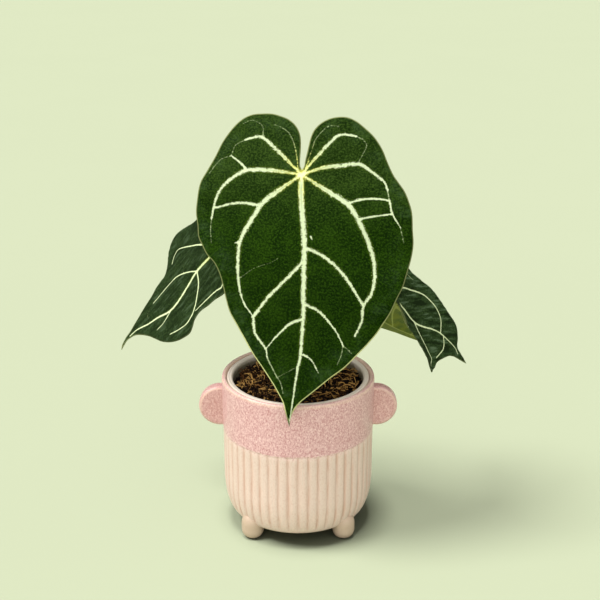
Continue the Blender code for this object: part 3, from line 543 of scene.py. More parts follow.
class Wiring:
    """Adds shader nodes to one node tree and links them."""

    def __init__(self, tree):
        self.tree = tree

    def add(self, kind, inputs=None, output=0, **settings):
        """A new node's output. inputs maps socket names or numbers to values or to other nodes' outputs."""
        node = self.tree.nodes.new("ShaderNode" + kind)
        for name, value in settings.items():
            setattr(node, name, value)
        for name, value in (inputs or {}).items():
            self.feed(node.inputs[name], value)
        return node.outputs[output]

    def feed(self, socket, value):
        if isinstance(value, bpy.types.NodeSocket):
            self.tree.links.new(value, socket)
        elif socket.type == "RGBA" and len(value) == 3:
            socket.default_value = (*value, 1.0)
        else:
            socket.default_value = value

    def plus(self, first, second):
        return self.add("Math", {0: first, 1: second}, operation="ADD")

    def minus(self, first, second):
        return self.add("Math", {0: first, 1: second}, operation="SUBTRACT")

    def times(self, product, *others):
        for other in others:
            product = self.add("Math", {0: product, 1: other}, operation="MULTIPLY")
        return product

    def remap(self, value, low, high, to_low=0.0, to_high=1.0):
        """value taken smoothly from low..high to to_low..to_high."""
        inputs = {"Value": value, 1: low, 2: high, 3: to_low, 4: to_high}
        return self.add("MapRange", inputs, interpolation_type="SMOOTHSTEP")

    def layered(self, colour, *layers):
        """The colour with layers over it in turn. A layer is (mask, share of the mask, colour)."""
        for mask, share, over in layers:
            factor = mask if share == 1 else self.times(mask, share)
            colour = self.add("Mix", {0: factor, 6: colour, 7: over}, output=2, data_type="RGBA")
        return colour

    def attribute(self, name, output=2):
        return self.add("Attribute", output=output, attribute_name=name)

    def spot(self):
        """Where a point lies on its object."""
        return self.add("TexCoord", output=3)

    def part(self, vector, axis):
        return self.add("SeparateXYZ", {0: vector}, axis)

    def vectors(self, operation, first, second, output=0):
        return self.add("VectorMath", {0: first, 1: second}, output, operation=operation)

    def scaled(self, vector, scale):
        return self.vectors("MULTIPLY", vector, scale)

    def noise(self, vector, scale, detail=2.0, roughness=0.5):
        inputs = {"Vector": vector, "Scale": scale, "Detail": detail, "Roughness": roughness}
        return self.add("TexNoise", inputs)

    def grouped(self, tree, *values):
        """The outputs of a node that holds this group, with its inputs fed in order."""
        node = self.tree.nodes.new("ShaderNodeGroup")
        node.node_tree = tree
        for socket, value in zip(node.inputs, values):
            self.feed(socket, value)
        return node.outputs

    def mottle(self, vector, cloud_scale, grain_scale):
        group = shader_group("Mottle", mottle_masks, "Vector", "Cloud Scale", "Grain Scale")
        return self.grouped(group, vector, cloud_scale, grain_scale)

    def drawing(self, raggedness, softness):
        group = shader_group("Leaf Drawing", drawing_masks, "Raggedness", "Softness")
        return self.grouped(group, raggedness, softness)


class Surface(Wiring):
    """A new material's wiring, with its Principled shader's plain values set."""

    def __init__(self, name, roughness, specular=0.5, **settings):
        self.made = bpy.data.materials.new(name)
        self.made.use_nodes = True
        super().__init__(self.made.node_tree)
        self.shader = self.tree.nodes["Principled BSDF"].inputs
        settings.update(Roughness=roughness, Specular_IOR_Level=specular)
        for socket, value in settings.items():
            self.shader[socket.replace("_", " ")].default_value = value

    def finish(self, colour, relief=None, roughness=None):
        """The material. relief is (height, millimetres, strength), and roughness (mask, at 0, at 1)."""
        self.feed(self.shader["Base Color"], colour)
        if relief:
            height, depth, strength = relief
            bump = self.add("Bump", {"Height": height, "Distance": depth * MM, "Strength": strength})
            self.feed(self.shader["Normal"], bump)
        if roughness:
            mask, low, high = roughness
            self.feed(self.shader["Roughness"], self.remap(mask, 0.0, 1.0, low, high))
        return self.made


def shader_group(name, draw, *inputs):
    """The node group of this name. When it is first asked for, draw wires it and gives its outputs."""
    if name in bpy.data.node_groups:
        return bpy.data.node_groups[name]
    tree = bpy.data.node_groups.new(name, "ShaderNodeTree")
    for socket in inputs:
        kind = "NodeSocketVector" if socket == "Vector" else "NodeSocketFloat"
        tree.interface.new_socket(socket, in_out="INPUT", socket_type=kind)
    wires = Wiring(tree)
    masks = draw(wires, *tree.nodes.new("NodeGroupInput").outputs[: len(inputs)])
    for socket in masks:
        tree.interface.new_socket(socket, in_out="OUTPUT", socket_type="NodeSocketFloat")
    result = tree.nodes.new("NodeGroupOutput").inputs
    for socket, mask in masks.items():
        wires.feed(result[socket], mask)
    return tree


def mottle_masks(wires, vector, cloud_scale, grain_scale):
    """Cloudy variation and a fine grain on top of it, for glaze, clay, plastic, bark and leaf alike."""
    cloud = wires.remap(wires.noise(vector, cloud_scale, 3.0, 0.55), 0.32, 0.68)
    grain = wires.remap(wires.noise(vector, grain_scale, 2.0, 0.6), 0.3, 0.7)
    return {"Cloud": cloud, "Grain": grain, "Both": wires.times(wires.plus(cloud, grain), 0.5)}


def drawing_masks(wires, raggedness, softness):
    """Masks of a leaf's drawing. A fine line of painted shade runs along the middle of the wider veins near
    the junction, standing for the shaded side of their beads, and Edge is a vein's outer part.
    """
    flat, rim = wires.attribute("flat", 1), wires.attribute("rim", 1)
    beside = wires.attribute("beside")
    inward, from_centre = wires.part(rim, 1).node.outputs[1:]
    down = wires.part(flat, 1)
    away = wires.add("VectorMath", {0: flat}, output=1, operation="LENGTH")
    half = wires.minus(from_centre, beside)
    small = wires.noise(flat, 1.0, 3.0, 0.7)
    ragged = wires.plus(small, wires.times(wires.noise(flat, 0.3, 1.0), 0.35))
    ragged = wires.times(wires.minus(ragged, 0.675), raggedness, wires.remap(half, 0.2, 1.5, 0.3, 1.0))
    edge = wires.plus(beside, ragged)
    vein = wires.minus(1.0, wires.remap(edge, wires.times(softness, -1.0), softness))
    dots = wires.noise(flat, 0.75, 2.0, 0.6)
    shown = wires.remap(wires.minus(wires.attribute("fullness"), dots), -0.2, 0.12)
    line = wires.times(wires.remap(from_centre, 0.2, 0.55, 1.0, 0.0), wires.remap(away, 6.0, 12.0))
    halo = wires.plus(away, wires.times(ragged, 1.6))
    margin = wires.remap(wires.plus(inward, wires.times(small, 0.8)), 0.95, 1.4, 1.0, 0.0)
    margin = wires.times(margin, wires.remap(down, 190.0, 204.0, 1.0, 0.15))
    streak = wires.remap(wires.noise(wires.scaled(rim, (0.45, 0.14, 0.0)), 1.0, 4.0), 0.3, 0.75)
    streak = wires.times(streak, wires.remap(wires.noise(flat, 0.06, 3.0), 0.45, 0.6))
    warp = wires.scaled(wires.noise(flat, 0.5).node.outputs[1], (1.6, 1.6, 0.0))
    warped = wires.vectors("ADD", flat, warp)
    wide, tight = (
        wires.add("TexVoronoi", {"Vector": warped, "Scale": scale}, feature="DISTANCE_TO_EDGE")
        for scale in (0.16, 0.5)
    )
    return {
        "Vein": wires.times(vein, shown),
        "CentreShade": wires.times(line, wires.remap(away, 10.0, 44.0, 1.0, 0.0), wires.remap(half, 0.6, 1.1)),
        "Edge": wires.times(wires.remap(edge, -1.0, -0.2), wires.remap(away, 8.0, 36.0, 1.0, 0.0)),
        "Junction": wires.remap(halo, 0.8, 6.5, 1.0, 0.0),
        "Margin": wires.times(margin, wires.remap(down, 90.0, 150.0, 0.3, 1.0)),
        # Painted sheen within about 24 millimetres of the margin, in streaks.
        "PaintedSheen": wires.times(wires.remap(inward, 2.0, 24.0, 1.0, 0.0), streak),
        "Flank": wires.times(wires.remap(edge, 0.0, 2.0, 1.0, 0.0), wires.remap(half, 0.5, 1.5)),
        "Cells": wires.plus(wires.remap(wide, 0.0, 0.16, 0.0, 0.4), wires.remap(tight, 0.0, 0.3, 0.0, 0.6)),
    }


def pot_material(settings):
    wires = Surface("glazed_stoneware", 0.4, 0.5, Coat_Weight=0.15, Coat_Roughness=0.25)
    spot = wires.spot()
    speckle = wires.mottle(wires.scaled(spot, (1.0, 1.0, 0.62)), 840.0, 2100.0)
    streaks = wires.mottle(wires.scaled(spot, (1.0, 1.0, 0.1)), 260.0, 700.0)["Both"]
    specks = speckle["Both"]
    rough_edge = wires.times(wires.minus(wires.noise(spot, 520.0, 3.0, 0.65), 0.5), GLAZE_WANDER)
    level = wires.plus(wires.part(spot, 2), rough_edge)
    glazed = wires.remap(level, GLAZE_Z - 1.1 * MM, GLAZE_Z + 1.3 * MM)
    fringe = wires.remap(level, GLAZE_Z - 5.5 * MM, GLAZE_Z - 0.5 * MM, 0.0, 0.75)
    # One mask: the glaze's break over the lip's outer shoulder, partly a painted highlight; a painted
    # highlight round the lugs' rims; painted light on the lip's top and inner side; painted shade over the
    # feet.
    glaze_break_and_painted_light = wires.attribute("glaze_break_and_painted_light")
    pink = wires.layered(
        settings.glaze,
        (wires.remap(specks, 0.16, 0.5, 1.0, 0.0), 0.78, settings.glaze_dark),
        (wires.remap(specks, 0.52, 0.86), 0.85, settings.glaze_light),
        # Cream of the glaze break, and painted highlight and light, on the lip and the lugs' rims.
        (glaze_break_and_painted_light, wires.remap(speckle["Cloud"], 0.0, 1.0, 0.6, 1.0), settings.glaze_break_and_highlight),
        # Painted shade on the top of the lip's inner side, beside the nursery pot; on the lugs the same
        # colour darkens the glaze all over.
        (wires.attribute("lip_shade_and_darker_lugs"), 0.35, tint(204, 160, 144)),
    )
    clay = wires.layered(
        settings.clay,
        (wires.remap(streaks, 0.4, 0.85), 0.5, tint(236, 208, 194)),
        (wires.remap(specks, 0.5, 0.1), 0.45, settings.groove),
        # Painted shade: the feet, under the pot, are darkened.
        (glaze_break_and_painted_light, 0.85, tint(188, 165, 140)),
        # Painted shade in the grooves between the ribs, stronger along some streaks than others.
        (wires.attribute("groove"), wires.remap(streaks, 0.2, 0.8, 0.35, 1.0), settings.groove),
        (fringe, specks, settings.glaze_light),
    )
    colour = wires.layered(clay, (glazed, 1, pink))
    return wires.finish(colour, (specks, 0.12, 0.6), (glazed, 0.55, 0.36))


def plastic_material(settings):
    wires = Surface("nursery_pot_plastic", 0.4)
    spot = wires.spot()
    mottle = wires.mottle(spot, 60.0, 1400.0)
    # Darker olive low on the inner wall near the soil: partly dust, partly painted shade inside the pot.
    dust_and_painted_shade = wires.plus(wires.part(spot, 2), wires.times(mottle["Both"], 5 * MM))
    dust_and_painted_shade = wires.remap(dust_and_painted_shade, SOIL_Z + 4.5 * MM, SOIL_Z + 8 * MM, 0.8, 0.0)
    colour = wires.layered(
        settings.plastic, (mottle["Cloud"], 0.25, tint(226, 220, 212)), (dust_and_painted_shade, 1, tint(104, 92, 54))
    )
    return wires.finish(colour, (mottle["Grain"], 0.05, 0.4), (mottle["Both"], 0.32, 0.5))


def coir_material(settings):
    """Brown crumbs and fibres, whose tone comes from the mesh."""
    wires = Surface("coir", 0.95, 0.2)
    grain = wires.mottle(wires.spot(), 220.0, 1600.0)["Grain"]
    tone = wires.plus(wires.attribute("tone"), wires.times(wires.minus(grain, 0.5), 0.35))
    middle, light = wires.remap(tone, 0.05, 0.5), wires.remap(tone, 0.5, 1.0)
    colour = wires.layered(settings.dark, (middle, 1, settings.middle), (light, 1, settings.light))
    return wires.finish(colour, (grain, 0.3, 1.0))


def bark_material(settings):
    wires = Surface("crown_bark", 0.8, 0.3)
    mottle = wires.mottle(wires.scaled(wires.spot(), (1.0, 1.0, 3.0)), 180.0, 900.0)
    dark, pale = (mottle["Cloud"], 1, tint(70, 50, 28)), (mottle["Grain"], 0.4, tint(150, 132, 84))
    return wires.finish(wires.layered(settings.bark, dark, pale), (mottle["Both"], 0.6, 1.0))


def stalk_material(settings):
    """Green stalks, browner at the foot and paler at the knee, with fine lengthwise streaks."""
    wires = Surface("stalk", 0.42, 0.45)
    mottle = wires.mottle(wires.scaled(wires.attribute("flat", 1), (1.0, 0.05, 1.0)), 1.2, 4.0)
    speck = wires.mottle(wires.spot(), 500.0, 1500.0)["Grain"]
    run = wires.attribute("run")
    colour = wires.layered(
        settings.stalk,
        (mottle["Both"], 1, tint(92, 112, 48)),
        (wires.remap(run, 0.0, 0.22, 0.75, 0.0), 1, tint(112, 88, 52)),
        (wires.remap(run, 0.93, 1.0, 0.0, 0.6), 1, tint(168, 176, 92)),
        (wires.remap(speck, 0.8, 1.0, 0.0, 0.5), 1, tint(186, 190, 140)),
    )
    return wires.finish(colour, (mottle["Both"], 0.15, 0.6), (mottle["Grain"], 0.36, 0.52))


def upper_material(settings, key):
    """Velvety upper face with pale veins. The front leaf is darker; the others are a greyer green that is
    partly painted sheen, with painted sheen on their ridges and painted shade between them, and each is
    painted lighter or darker for how the light falls on it.
    """
    side_leaf = key != "front"
    wires = Surface("blade_upper_" + key, 0.7, 0.02)
    flat = wires.attribute("flat", 1)
    drawing = wires.drawing(3.0 if side_leaf else 6.6, 0.2)
    mottle = wires.mottle(flat, 0.05, 1.0)
    fine = wires.mottle(flat, 0.55, 1.3)["Both"]
    shade, contrast = LEAVES[key]["shade"]

    # Lit and shaded copies of one green: painted light or shade for how the light falls on this leaf.
    def shaded(colour):
        return tuple(value * shade for value in colour)

    if side_leaf:
        # The side leaves' veins are painted brighter than the front leaf's: painted light against the shade
        # on those leaves.
        vein, rim_share = tint(216, 229, 182), 0.25
        base, light = shaded(settings.side), shaded(tint(58, 78, 42))
        deep = tuple(value * 0.4 for value in base)
        # Painted shade in the valleys between the ridges and painted sheen on their crests, as strong as the
        # leaf's ridge strength.
        ridges = wires.noise(wires.attribute("weft", 1), 1.0, 4.0)
        more = [
            (wires.remap(ridges, 0.5, 0.38, 0.0, 0.8 * contrast), 1, deep),
            (wires.remap(ridges, 0.52, 0.7, 0.0, 0.6 * contrast), 1, shaded(tint(92, 112, 84))),
        ]
    else:
        vein, rim_share = settings.vein, 0.95
        base, light = shaded(settings.upper), shaded(settings.upper_light)
        deep = tuple(value * 0.4 for value in base)
        down = wires.part(flat, 1)
        upward = wires.remap(down, -10.0, 60.0, 1.0, 0.0)
        base = wires.layered(base, (upward, 1, tint(28, 48, 8)))
        light = wires.layered(light, (upward, 1, tint(60, 84, 30)))
        more = [(wires.remap(down, 50.0, 105.0, 0.0, 0.2), 1, deep)]
    green = wires.layered(
        base,
        (wires.remap(mottle["Cloud"], 0.2, 0.9), 0.35, light),
        (wires.remap(fine, 0.46, 0.8), 0.75, light),
        (wires.remap(mottle["Grain"], 0.5, 0.05), 0.4, deep),
        (wires.remap(fine, 0.48, 0.2), 0.7, deep),
        (wires.remap(drawing["Cells"], 0.0, 0.6, 0.22, 0.0), 1, deep),
        *more,
        # Painted sheen near the margin.
        (drawing["PaintedSheen"], 0.22, settings.upper_painted_sheen),
        (drawing["Flank"], 0.5, tint(84, 104, 26)),
        (drawing["Junction"], 0.85, settings.junction),
    )
    pale = wires.layered(
        vein,
        (fine, 0.2, settings.margin),
        (wires.remap(wires.attribute("fullness"), 0.3, 0.8, 0.7, 0.0), 1, tint(130, 152, 84)),
        (drawing["Edge"], 0.85, settings.junction),
        # Painted shade: a fine darker line along the middle of the wider veins near the junction.
        (drawing["CentreShade"], 0.6, tint(132, 150, 84)),
        (drawing["Junction"], 0.5, tint(246, 246, 196)),
    )
    rim = (drawing["Margin"], rim_share, settings.margin)
    colour = wires.layered(green, rim, (drawing["Vein"], 1, pale))
    return wires.finish(colour, (fine, 0.2, 0.6), (mottle["Both"], 0.6, 0.75))


def under_material(settings):
    """Olive under face with blunter, greener veins."""
    wires = Surface("blade_under", 0.6, 0.2)
    drawing = wires.drawing(1.2, 0.6)
    mottle = wires.mottle(wires.attribute("flat", 1), 0.1, 0.9)
    colour = wires.layered(
        # This olive is partly painted light shining through the blade.
        settings.under,
        (mottle["Cloud"], 1, tint(74, 96, 30)),
        (mottle["Grain"], 0.3, tint(124, 132, 58)),
        (drawing["Vein"], 0.7, tint(168, 176, 96)),
        (drawing["Margin"], 0.8, settings.margin),
    )
    return wires.finish(colour, (mottle["Grain"], 0.12, 0.5))


def sky_on_ground():
    """Share of the soft box's full strength that falls on level ground, summed over patches of the sky."""
    around, up = np.meshgrid(np.radians(np.arange(0, 360, 3)), np.radians(np.arange(1, 90, 2)))
    ways = np.stack([np.cos(up) * np.cos(around), np.cos(up) * np.sin(around), np.sin(up)], axis=-1)
    strength = SKY_LEAST + (1 - SKY_LEAST) * ease(ways @ np.array(SKY_WAY), *SKY_SPREAD)
    patch = math.radians(3) * math.radians(2) * np.cos(up)
    return float((strength * np.sin(up) * patch).sum() / math.pi)


def floor_material(settings):
    """Paper whose own colour is such that it looks like the chosen floor colour in this light."""
    wires = Surface("floor_paper", 0.9, 0.0)
    direct = (settings.cast * -CAST_WAY.z + settings.top * -TOP_WAY.z) / math.pi
    around = settings.ambient * sky_on_ground()
    paper = [colour / (direct + around * sky) for colour, sky in zip(settings.floor, SKY_COLOUR)]
    paler = [value * 1.012 for value in paper]
    mask = wires.mottle(wires.spot(), 3.0, 900.0)["Both"]
    return wires.finish(wires.layered(paper, (mask, 1, paler)))


def outer_profile():
    """(radius, height) rows of the cover pot, from its floor up inside, over the lip and down outside."""
    lip = LIP_WIDTH / 2
    rows = [(6 * MM, CAVITY_FLOOR), (30 * MM, CAVITY_FLOOR)]
    rows += arc((CAVITY_RADIUS - 14 * MM, CAVITY_FLOOR + 18 * MM), (14 * MM, 18 * MM), -90, 0, 8)
    rows += straight(rows[-1], (CAVITY_RADIUS, RIM_Z - lip), 8)[:-1]
    rows += arc((CAVITY_RADIUS + lip, RIM_Z - lip), (lip, lip), 180, 0, 14)
    band = (BODY_RADIUS + 0.4 * MM, RIM_Z - 10 * MM)
    rows += straight(rows[-1], band, 4)
    rows += straight(band, (BODY_RADIUS, GLAZE_Z + 2 * MM), 12)
    rows += straight(rows[-1], (BODY_RADIUS, GLAZE_Z - 3 * MM), 12)
    rows += straight(rows[-1], (BODY_RADIUS, FOOT_HEIGHT + CORNER_UP), 14)[:-1]
    rows += arc((BODY_RADIUS - CORNER_IN, FOOT_HEIGHT + CORNER_UP), (CORNER_IN, CORNER_UP), 0, -90, 26)
    rows += [(30 * MM, FOOT_HEIGHT), (6 * MM, FOOT_HEIGHT)]
    return np.array(rows)


def body_radius_at(height):
    """Radius of the cover pot's outside at a height."""
    corner = FOOT_HEIGHT + CORNER_UP
    below = np.clip((corner - height) / CORNER_UP, 0.0, 1.0)
    return BODY_RADIUS - CORNER_IN * (1 - np.sqrt(1 - below**2))


def pot_body(settings, material):
    profile = outer_profile()
    radius, height = profile.T[..., None]
    outside = np.arange(len(profile))[:, None] > np.argmax(profile[:, 0])
    turns = (np.arange(RIBS)[:, None] + np.array(GROOVE_PLACES)).ravel()
    angles = turns * math.tau / RIBS
    rib = np.round(turns)
    off_groove = np.abs(turns - rib)
    wobble = 1 + 0.16 * np.sin(2.4 * rib + height / (8 * MM)) + 0.1 * np.sin(5.1 * rib)
    cut = np.exp(-((off_groove / (0.15 * wobble)) ** 2))
    crown = 0.3 * MM * (2 * off_groove - 1) ** 2
    ends = (FOOT_HEIGHT + 2.5 * MM, FOOT_HEIGHT + 9 * MM, GLAZE_Z - 1.2 * MM, GLAZE_Z + 0.8 * MM)
    fade = between(height, *ends) * outside
    drip = 0.5 * MM * np.sin(9 * angles) + 0.3 * MM * np.sin(23 * angles + 1)
    step = settings.glaze_step * ease(height + drip, GLAZE_Z - 0.6 * MM, GLAZE_Z + 0.8 * MM) * outside
    radius = radius - fade * (settings.groove_depth * cut + crown) + step
    lip = LIP_WIDTH / 2
    about = np.degrees(np.arctan2(height - RIM_Z + lip, radius - CAVITY_RADIUS - lip))
    on_lip = height > RIM_Z - 2 * lip
    # Cream where the glaze breaks over the lip's outer shoulder, partly a painted highlight, and painted
    # light that lightens the lip's top and inner side where they face away from the light.
    lip_break_and_painted_light = 0.72 * between(about, -20, 12, 44, 66) + 0.95 * ease(about, 66, 96) * on_lip
    # Painted shade: a darker band on the top of the lip's inner side, beside the nursery pot.
    lip_shade_and_darker_lugs = 0.2 * between(about, 44, 62, 66, 90) * on_lip
    # The groove mask says where painted shade darkens the grooves.
    tones = {"glaze_break_and_painted_light": lip_break_and_painted_light, "lip_shade_and_darker_lugs": lip_shade_and_darker_lugs, "groove": fade * cut}
    points = about_axis(radius, angles, height)
    grid_piece("cover_pot_body", points, "glazed_pot", material, "cover_pot", **tones)


def pot_ear(settings, material, side):
    """A flat round lug that flares into the body."""
    corner = (EAR_RADIUS - EAR_ROUNDING, EAR_HALF - EAR_ROUNDING)
    rounding = (EAR_ROUNDING, EAR_ROUNDING)
    rows = straight((0.5 * MM, EAR_HALF), (corner[0], EAR_HALF), 12)
    rows += arc(corner, rounding, 90, 0, 10)[1:]
    rows += arc((corner[0], -corner[1]), rounding, 0, -90, 10)
    rows += straight((corner[0], -EAR_HALF), (0.5 * MM, -EAR_HALF), 12)
    radius, deep = np.array(rows).T[..., None]
    angles = round_angles(112)
    out, up = radius * np.cos(angles), radius * np.sin(angles)
    x = side * (EAR_OUT + out)
    near = np.clip(1 - (np.hypot(x, deep) - RIM_RADIUS + 1.2 * MM) / settings.fillet, 0.0, 1.0)
    flare = settings.fillet * (1 - np.sqrt(1 - near**2))
    away = stacked(out, up, deep * 2.2)
    away[..., :2] *= (radius > corner[0])[..., None]
    away /= np.maximum(np.linalg.norm(away, axis=-1, keepdims=True), 1e-6)
    points = stacked(AXIS_X + x, AXIS_Y + deep + away[..., 2] * flare, EAR_Z + up + away[..., 1] * flare)
    # Painted highlight round the lug's rim, strongest on top, where the light falls.
    edge = between(radius - EAR_RADIUS, -3 * MM, -1.8 * MM, -1.2 * MM, -0.5 * MM) * (near < 0.5)
    edge = edge * (0.25 + 0.6 * ease(np.sin(angles), -0.3, 0.7))
    # The lugs' glaze is darkened all over with the same colour.
    tones = {"glaze_break_and_painted_light": edge, "lip_shade_and_darker_lugs": np.full(x.shape, 0.9), "groove": np.zeros(x.shape)}
    name = "cover_pot_lug_right" if side > 0 else "cover_pot_lug_left"
    grid_piece(name, points, "glazed_pot", material, "cover_pot", **tones)


def pot_foot(settings, material, x, y, name):
    """A short rounded peg that flares into the pot's underside."""
    rows = [(0.6 * MM, 0.0), (FOOT_SPOT, 0.0)]
    rows += arc((FOOT_SPOT, FOOT_ROUNDING), (FOOT_RADIUS - FOOT_SPOT, FOOT_ROUNDING), -90, 0, 16)[1:]
    rows += straight(rows[-1], (FOOT_RADIUS, FOOT_SHOULDER), 6)
    rows += arc((FOOT_SPOT, FOOT_SHOULDER), (FOOT_RADIUS - FOOT_SPOT, FOOT_DOME), 0, 90, 20)[1:]
    radius, height = np.array(rows).T[..., None]
    angles = round_angles(72)
    px, py = x + radius * np.cos(angles), y + radius * np.sin(angles)
    out = np.hypot(px, py)
    within = (height > FOOT_HEIGHT) & (out < body_radius_at(np.clip(height, FOOT_HEIGHT, None)))
    profile = outer_profile()
    profile = profile[np.argmax(profile[:, 0]) :]
    gap = nearest_on(stacked(out, height).reshape(-1, 2), profile)[0].reshape(out.shape)
    near = np.where(within, 1.0, np.clip(1 - gap / settings.fillet, 0.0, 1.0))
    flare = settings.fillet * (1 - np.sqrt(np.maximum(1 - near**2, 0)))
    fade = 1 - ease(height, FOOT_HEIGHT, FOOT_HEIGHT + 3 * MM)
    flare = 0.6 * flare * fade * (radius > FOOT_SPOT + 3 * MM)
    points = stacked(AXIS_X + (px + flare * np.cos(angles)), AXIS_Y + (py + flare * np.sin(angles)), height)
    # The whole foot takes the mask, which darkens it with painted shade under the pot.
    tones = {"glaze_break_and_painted_light": np.ones(out.shape), "groove": np.zeros(out.shape)}
    grid_piece(name, points, "glazed_pot", material, "cover_pot", **tones)


def nursery_pot(material):
    """The nursery pot, whose rolled rim has a bead along each edge."""
    bead = 1.3 * MM
    rows = [(4 * MM, GROW_FLOOR + bead), (GROW_BASE - bead, GROW_FLOOR + bead)]
    rows += straight(rows[-1], (GROW_INNER, GROW_RIM), 10)
    rows += arc((GROW_INNER + 2.2 * MM, GROW_TOP - 2.5 * MM), (2.2 * MM, 2.2 * MM), 180, 80, 10)
    rows += arc((GROW_OUTER - bead, GROW_TOP - bead), (bead, bead), 130, 0, 8)
    rows += straight(rows[-1], (GROW_OUTER, GROW_RIM), 2)
    rows += [(GROW_INNER + bead, GROW_RIM), (GROW_BASE, GROW_FLOOR), (4 * MM, GROW_FLOOR)]
    radius, height = np.array(rows).T[..., None]
    points = about_axis(radius, round_angles(192), height)
    grid_piece("nursery_pot", points, "nursery_plastic", material, "grow_pot")


def soil_height(x, y):
    """Height of the lumpy soil, for places in millimetres from the pot's axis."""
    lump = np.sin(0.31 * x + 1.0) * np.cos(0.27 * y) + 0.7 * np.sin(0.63 * x - 0.55 * y + 2.0)
    return SOIL_Z + 1.1 * MM * (lump + 0.5 * np.sin(1.1 * y + 0.8 * x))


def hollows(x, y):
    """How far the loose surface falls away in pits and along the front of the wall."""
    pits = ease(waver(stacked(x, y, 0.0), 8 * MM, 21), 0.12, 0.42)
    front = ease(np.hypot(x, y), SOIL_RADIUS - 4.5 * MM, SOIL_RADIUS - 1 * MM) * ease(-y, 0, 30 * MM)
    return np.maximum(np.maximum(pits, 0.9 * front), 0.9 * ease(-y, 18 * MM, 42 * MM))


def soil_bed(material):
    """The dark, rough bed that the crumbs lie on."""
    radii = np.concatenate([[CROWN_RADIUS - 3 * MM], np.linspace(CROWN_RADIUS, SOIL_RADIUS, 52)])[:, None]
    angles = round_angles(260)
    x, y = radii * np.cos(angles), radii * np.sin(angles)
    flat = stacked(x, y, 0.0)
    rough = waver(flat, 2.2 * MM) + 0.6 * waver(flat, 0.9 * MM, 3)
    top = soil_height(x / MM, y / MM) - 1.4 * MM + 1.1 * MM * rough - CRUMB_DROP * hollows(x, y)
    low_ring = about_axis(GROW_BASE - 2 * MM, angles, GROW_FLOOR + 1.9 * MM)
    points = np.concatenate([about_axis(radii, angles, top), low_ring[None]])
    tone = np.concatenate([0.04 * rough, np.zeros((1, len(angles)))])
    grid_piece("coir_bed", points, "coir_mix", material, "soil", tone=tone)


def scattered(draw, count, least, reach):
    """Places strewn over the soil, in metres from the pot's axis."""
    radius = np.sqrt(draw.uniform(least, 1.0, count)) * reach
    turn = draw.uniform(0, math.tau, count)
    return radius * np.cos(turn), radius * np.sin(turn)


def settled(draw, x, y, low, high, drop):
    """The points where loose coir comes to rest, and how far each has fallen into a hollow."""
    fallen = hollows(x, y)
    z = soil_height(x / MM, y / MM) + draw.uniform(low, high, len(x)) * MM - drop * fallen
    return stacked(AXIS_X + x, AXIS_Y + y, z), fallen


def clumps(x, y):
    """Where loose coir is lighter, up to 1, or darker, down to -1."""
    return waver(stacked(x, y, 0.0), 14 * MM, 5)


def loose_piece(name, points, faces, tones, material):
    """One mesh of many alike bits of coir. points and tones hold a row and a tone for each bit."""
    count, size = points.shape[:2]
    faces = (faces + size * np.arange(count)[:, None, None]).reshape(-1, faces.shape[-1])
    tone = {"tone": np.repeat(tones, size)}
    mesh_piece(name, points, faces.tolist(), [material], "soil", tone)


def unit_lump():
    """Points and faces of an icosahedron of radius 1."""
    golden = (1 + math.sqrt(5)) / 2
    points = []
    for a in (-1, 1):
        for b in (-golden, golden):
            points += [(0, a, b), (a, b, 0), (b, 0, a)]
    points = np.array(points)
    faces = []
    for i, j, k in combinations(range(12), 3):
        a, b, c = points[i], points[j], points[k]
        if max(np.linalg.norm(side) for side in (a - b, b - c, a - c)) < 2.1:
            faces.append((i, j, k) if np.dot(np.cross(b - a, c - a), a) > 0 else (i, k, j))
    return points / math.sqrt(1 + golden**2), np.array(faces)


def crumbs(settings, material):
    """Loose crumbs of coir and bark, as one mesh."""
    draw = np.random.default_rng(CRUMB_SEED)
    count = settings.crumbs
    x, y = scattered(draw, count, 0.045, SOIL_RADIUS - 1.2 * MM)
    size = np.clip(settings.crumb_size * draw.lognormal(-0.35, 0.45, count), 0.5 * MM, 4.4 * MM)
    places, fallen = settled(draw, x, y, -1.8, 0.8, CRUMB_DROP)
    unit, triangles = unit_lump()
    shape = unit * draw.uniform(0.55, 1.25, (count, 12, 1))
    shape *= draw.uniform(0.45, 1.2, (count, 1, 3))
    axes = np.linalg.qr(draw.normal(size=(count, 3, 3)))[0]
    shape = np.einsum("nij,nkj->nki", axes, shape) * (size / 2)[:, None, None]
    # Crumbs that have fallen further are darker: painted shade in the hollows and over the front of the
    # soil.
    tones = np.clip(0.1 + 0.18 * clumps(x, y) + draw.normal(0, 0.15, count) - 0.3 * fallen, 0, 1)
    loose_piece("coir_crumbs", shape + places[:, None], triangles, tones, material)


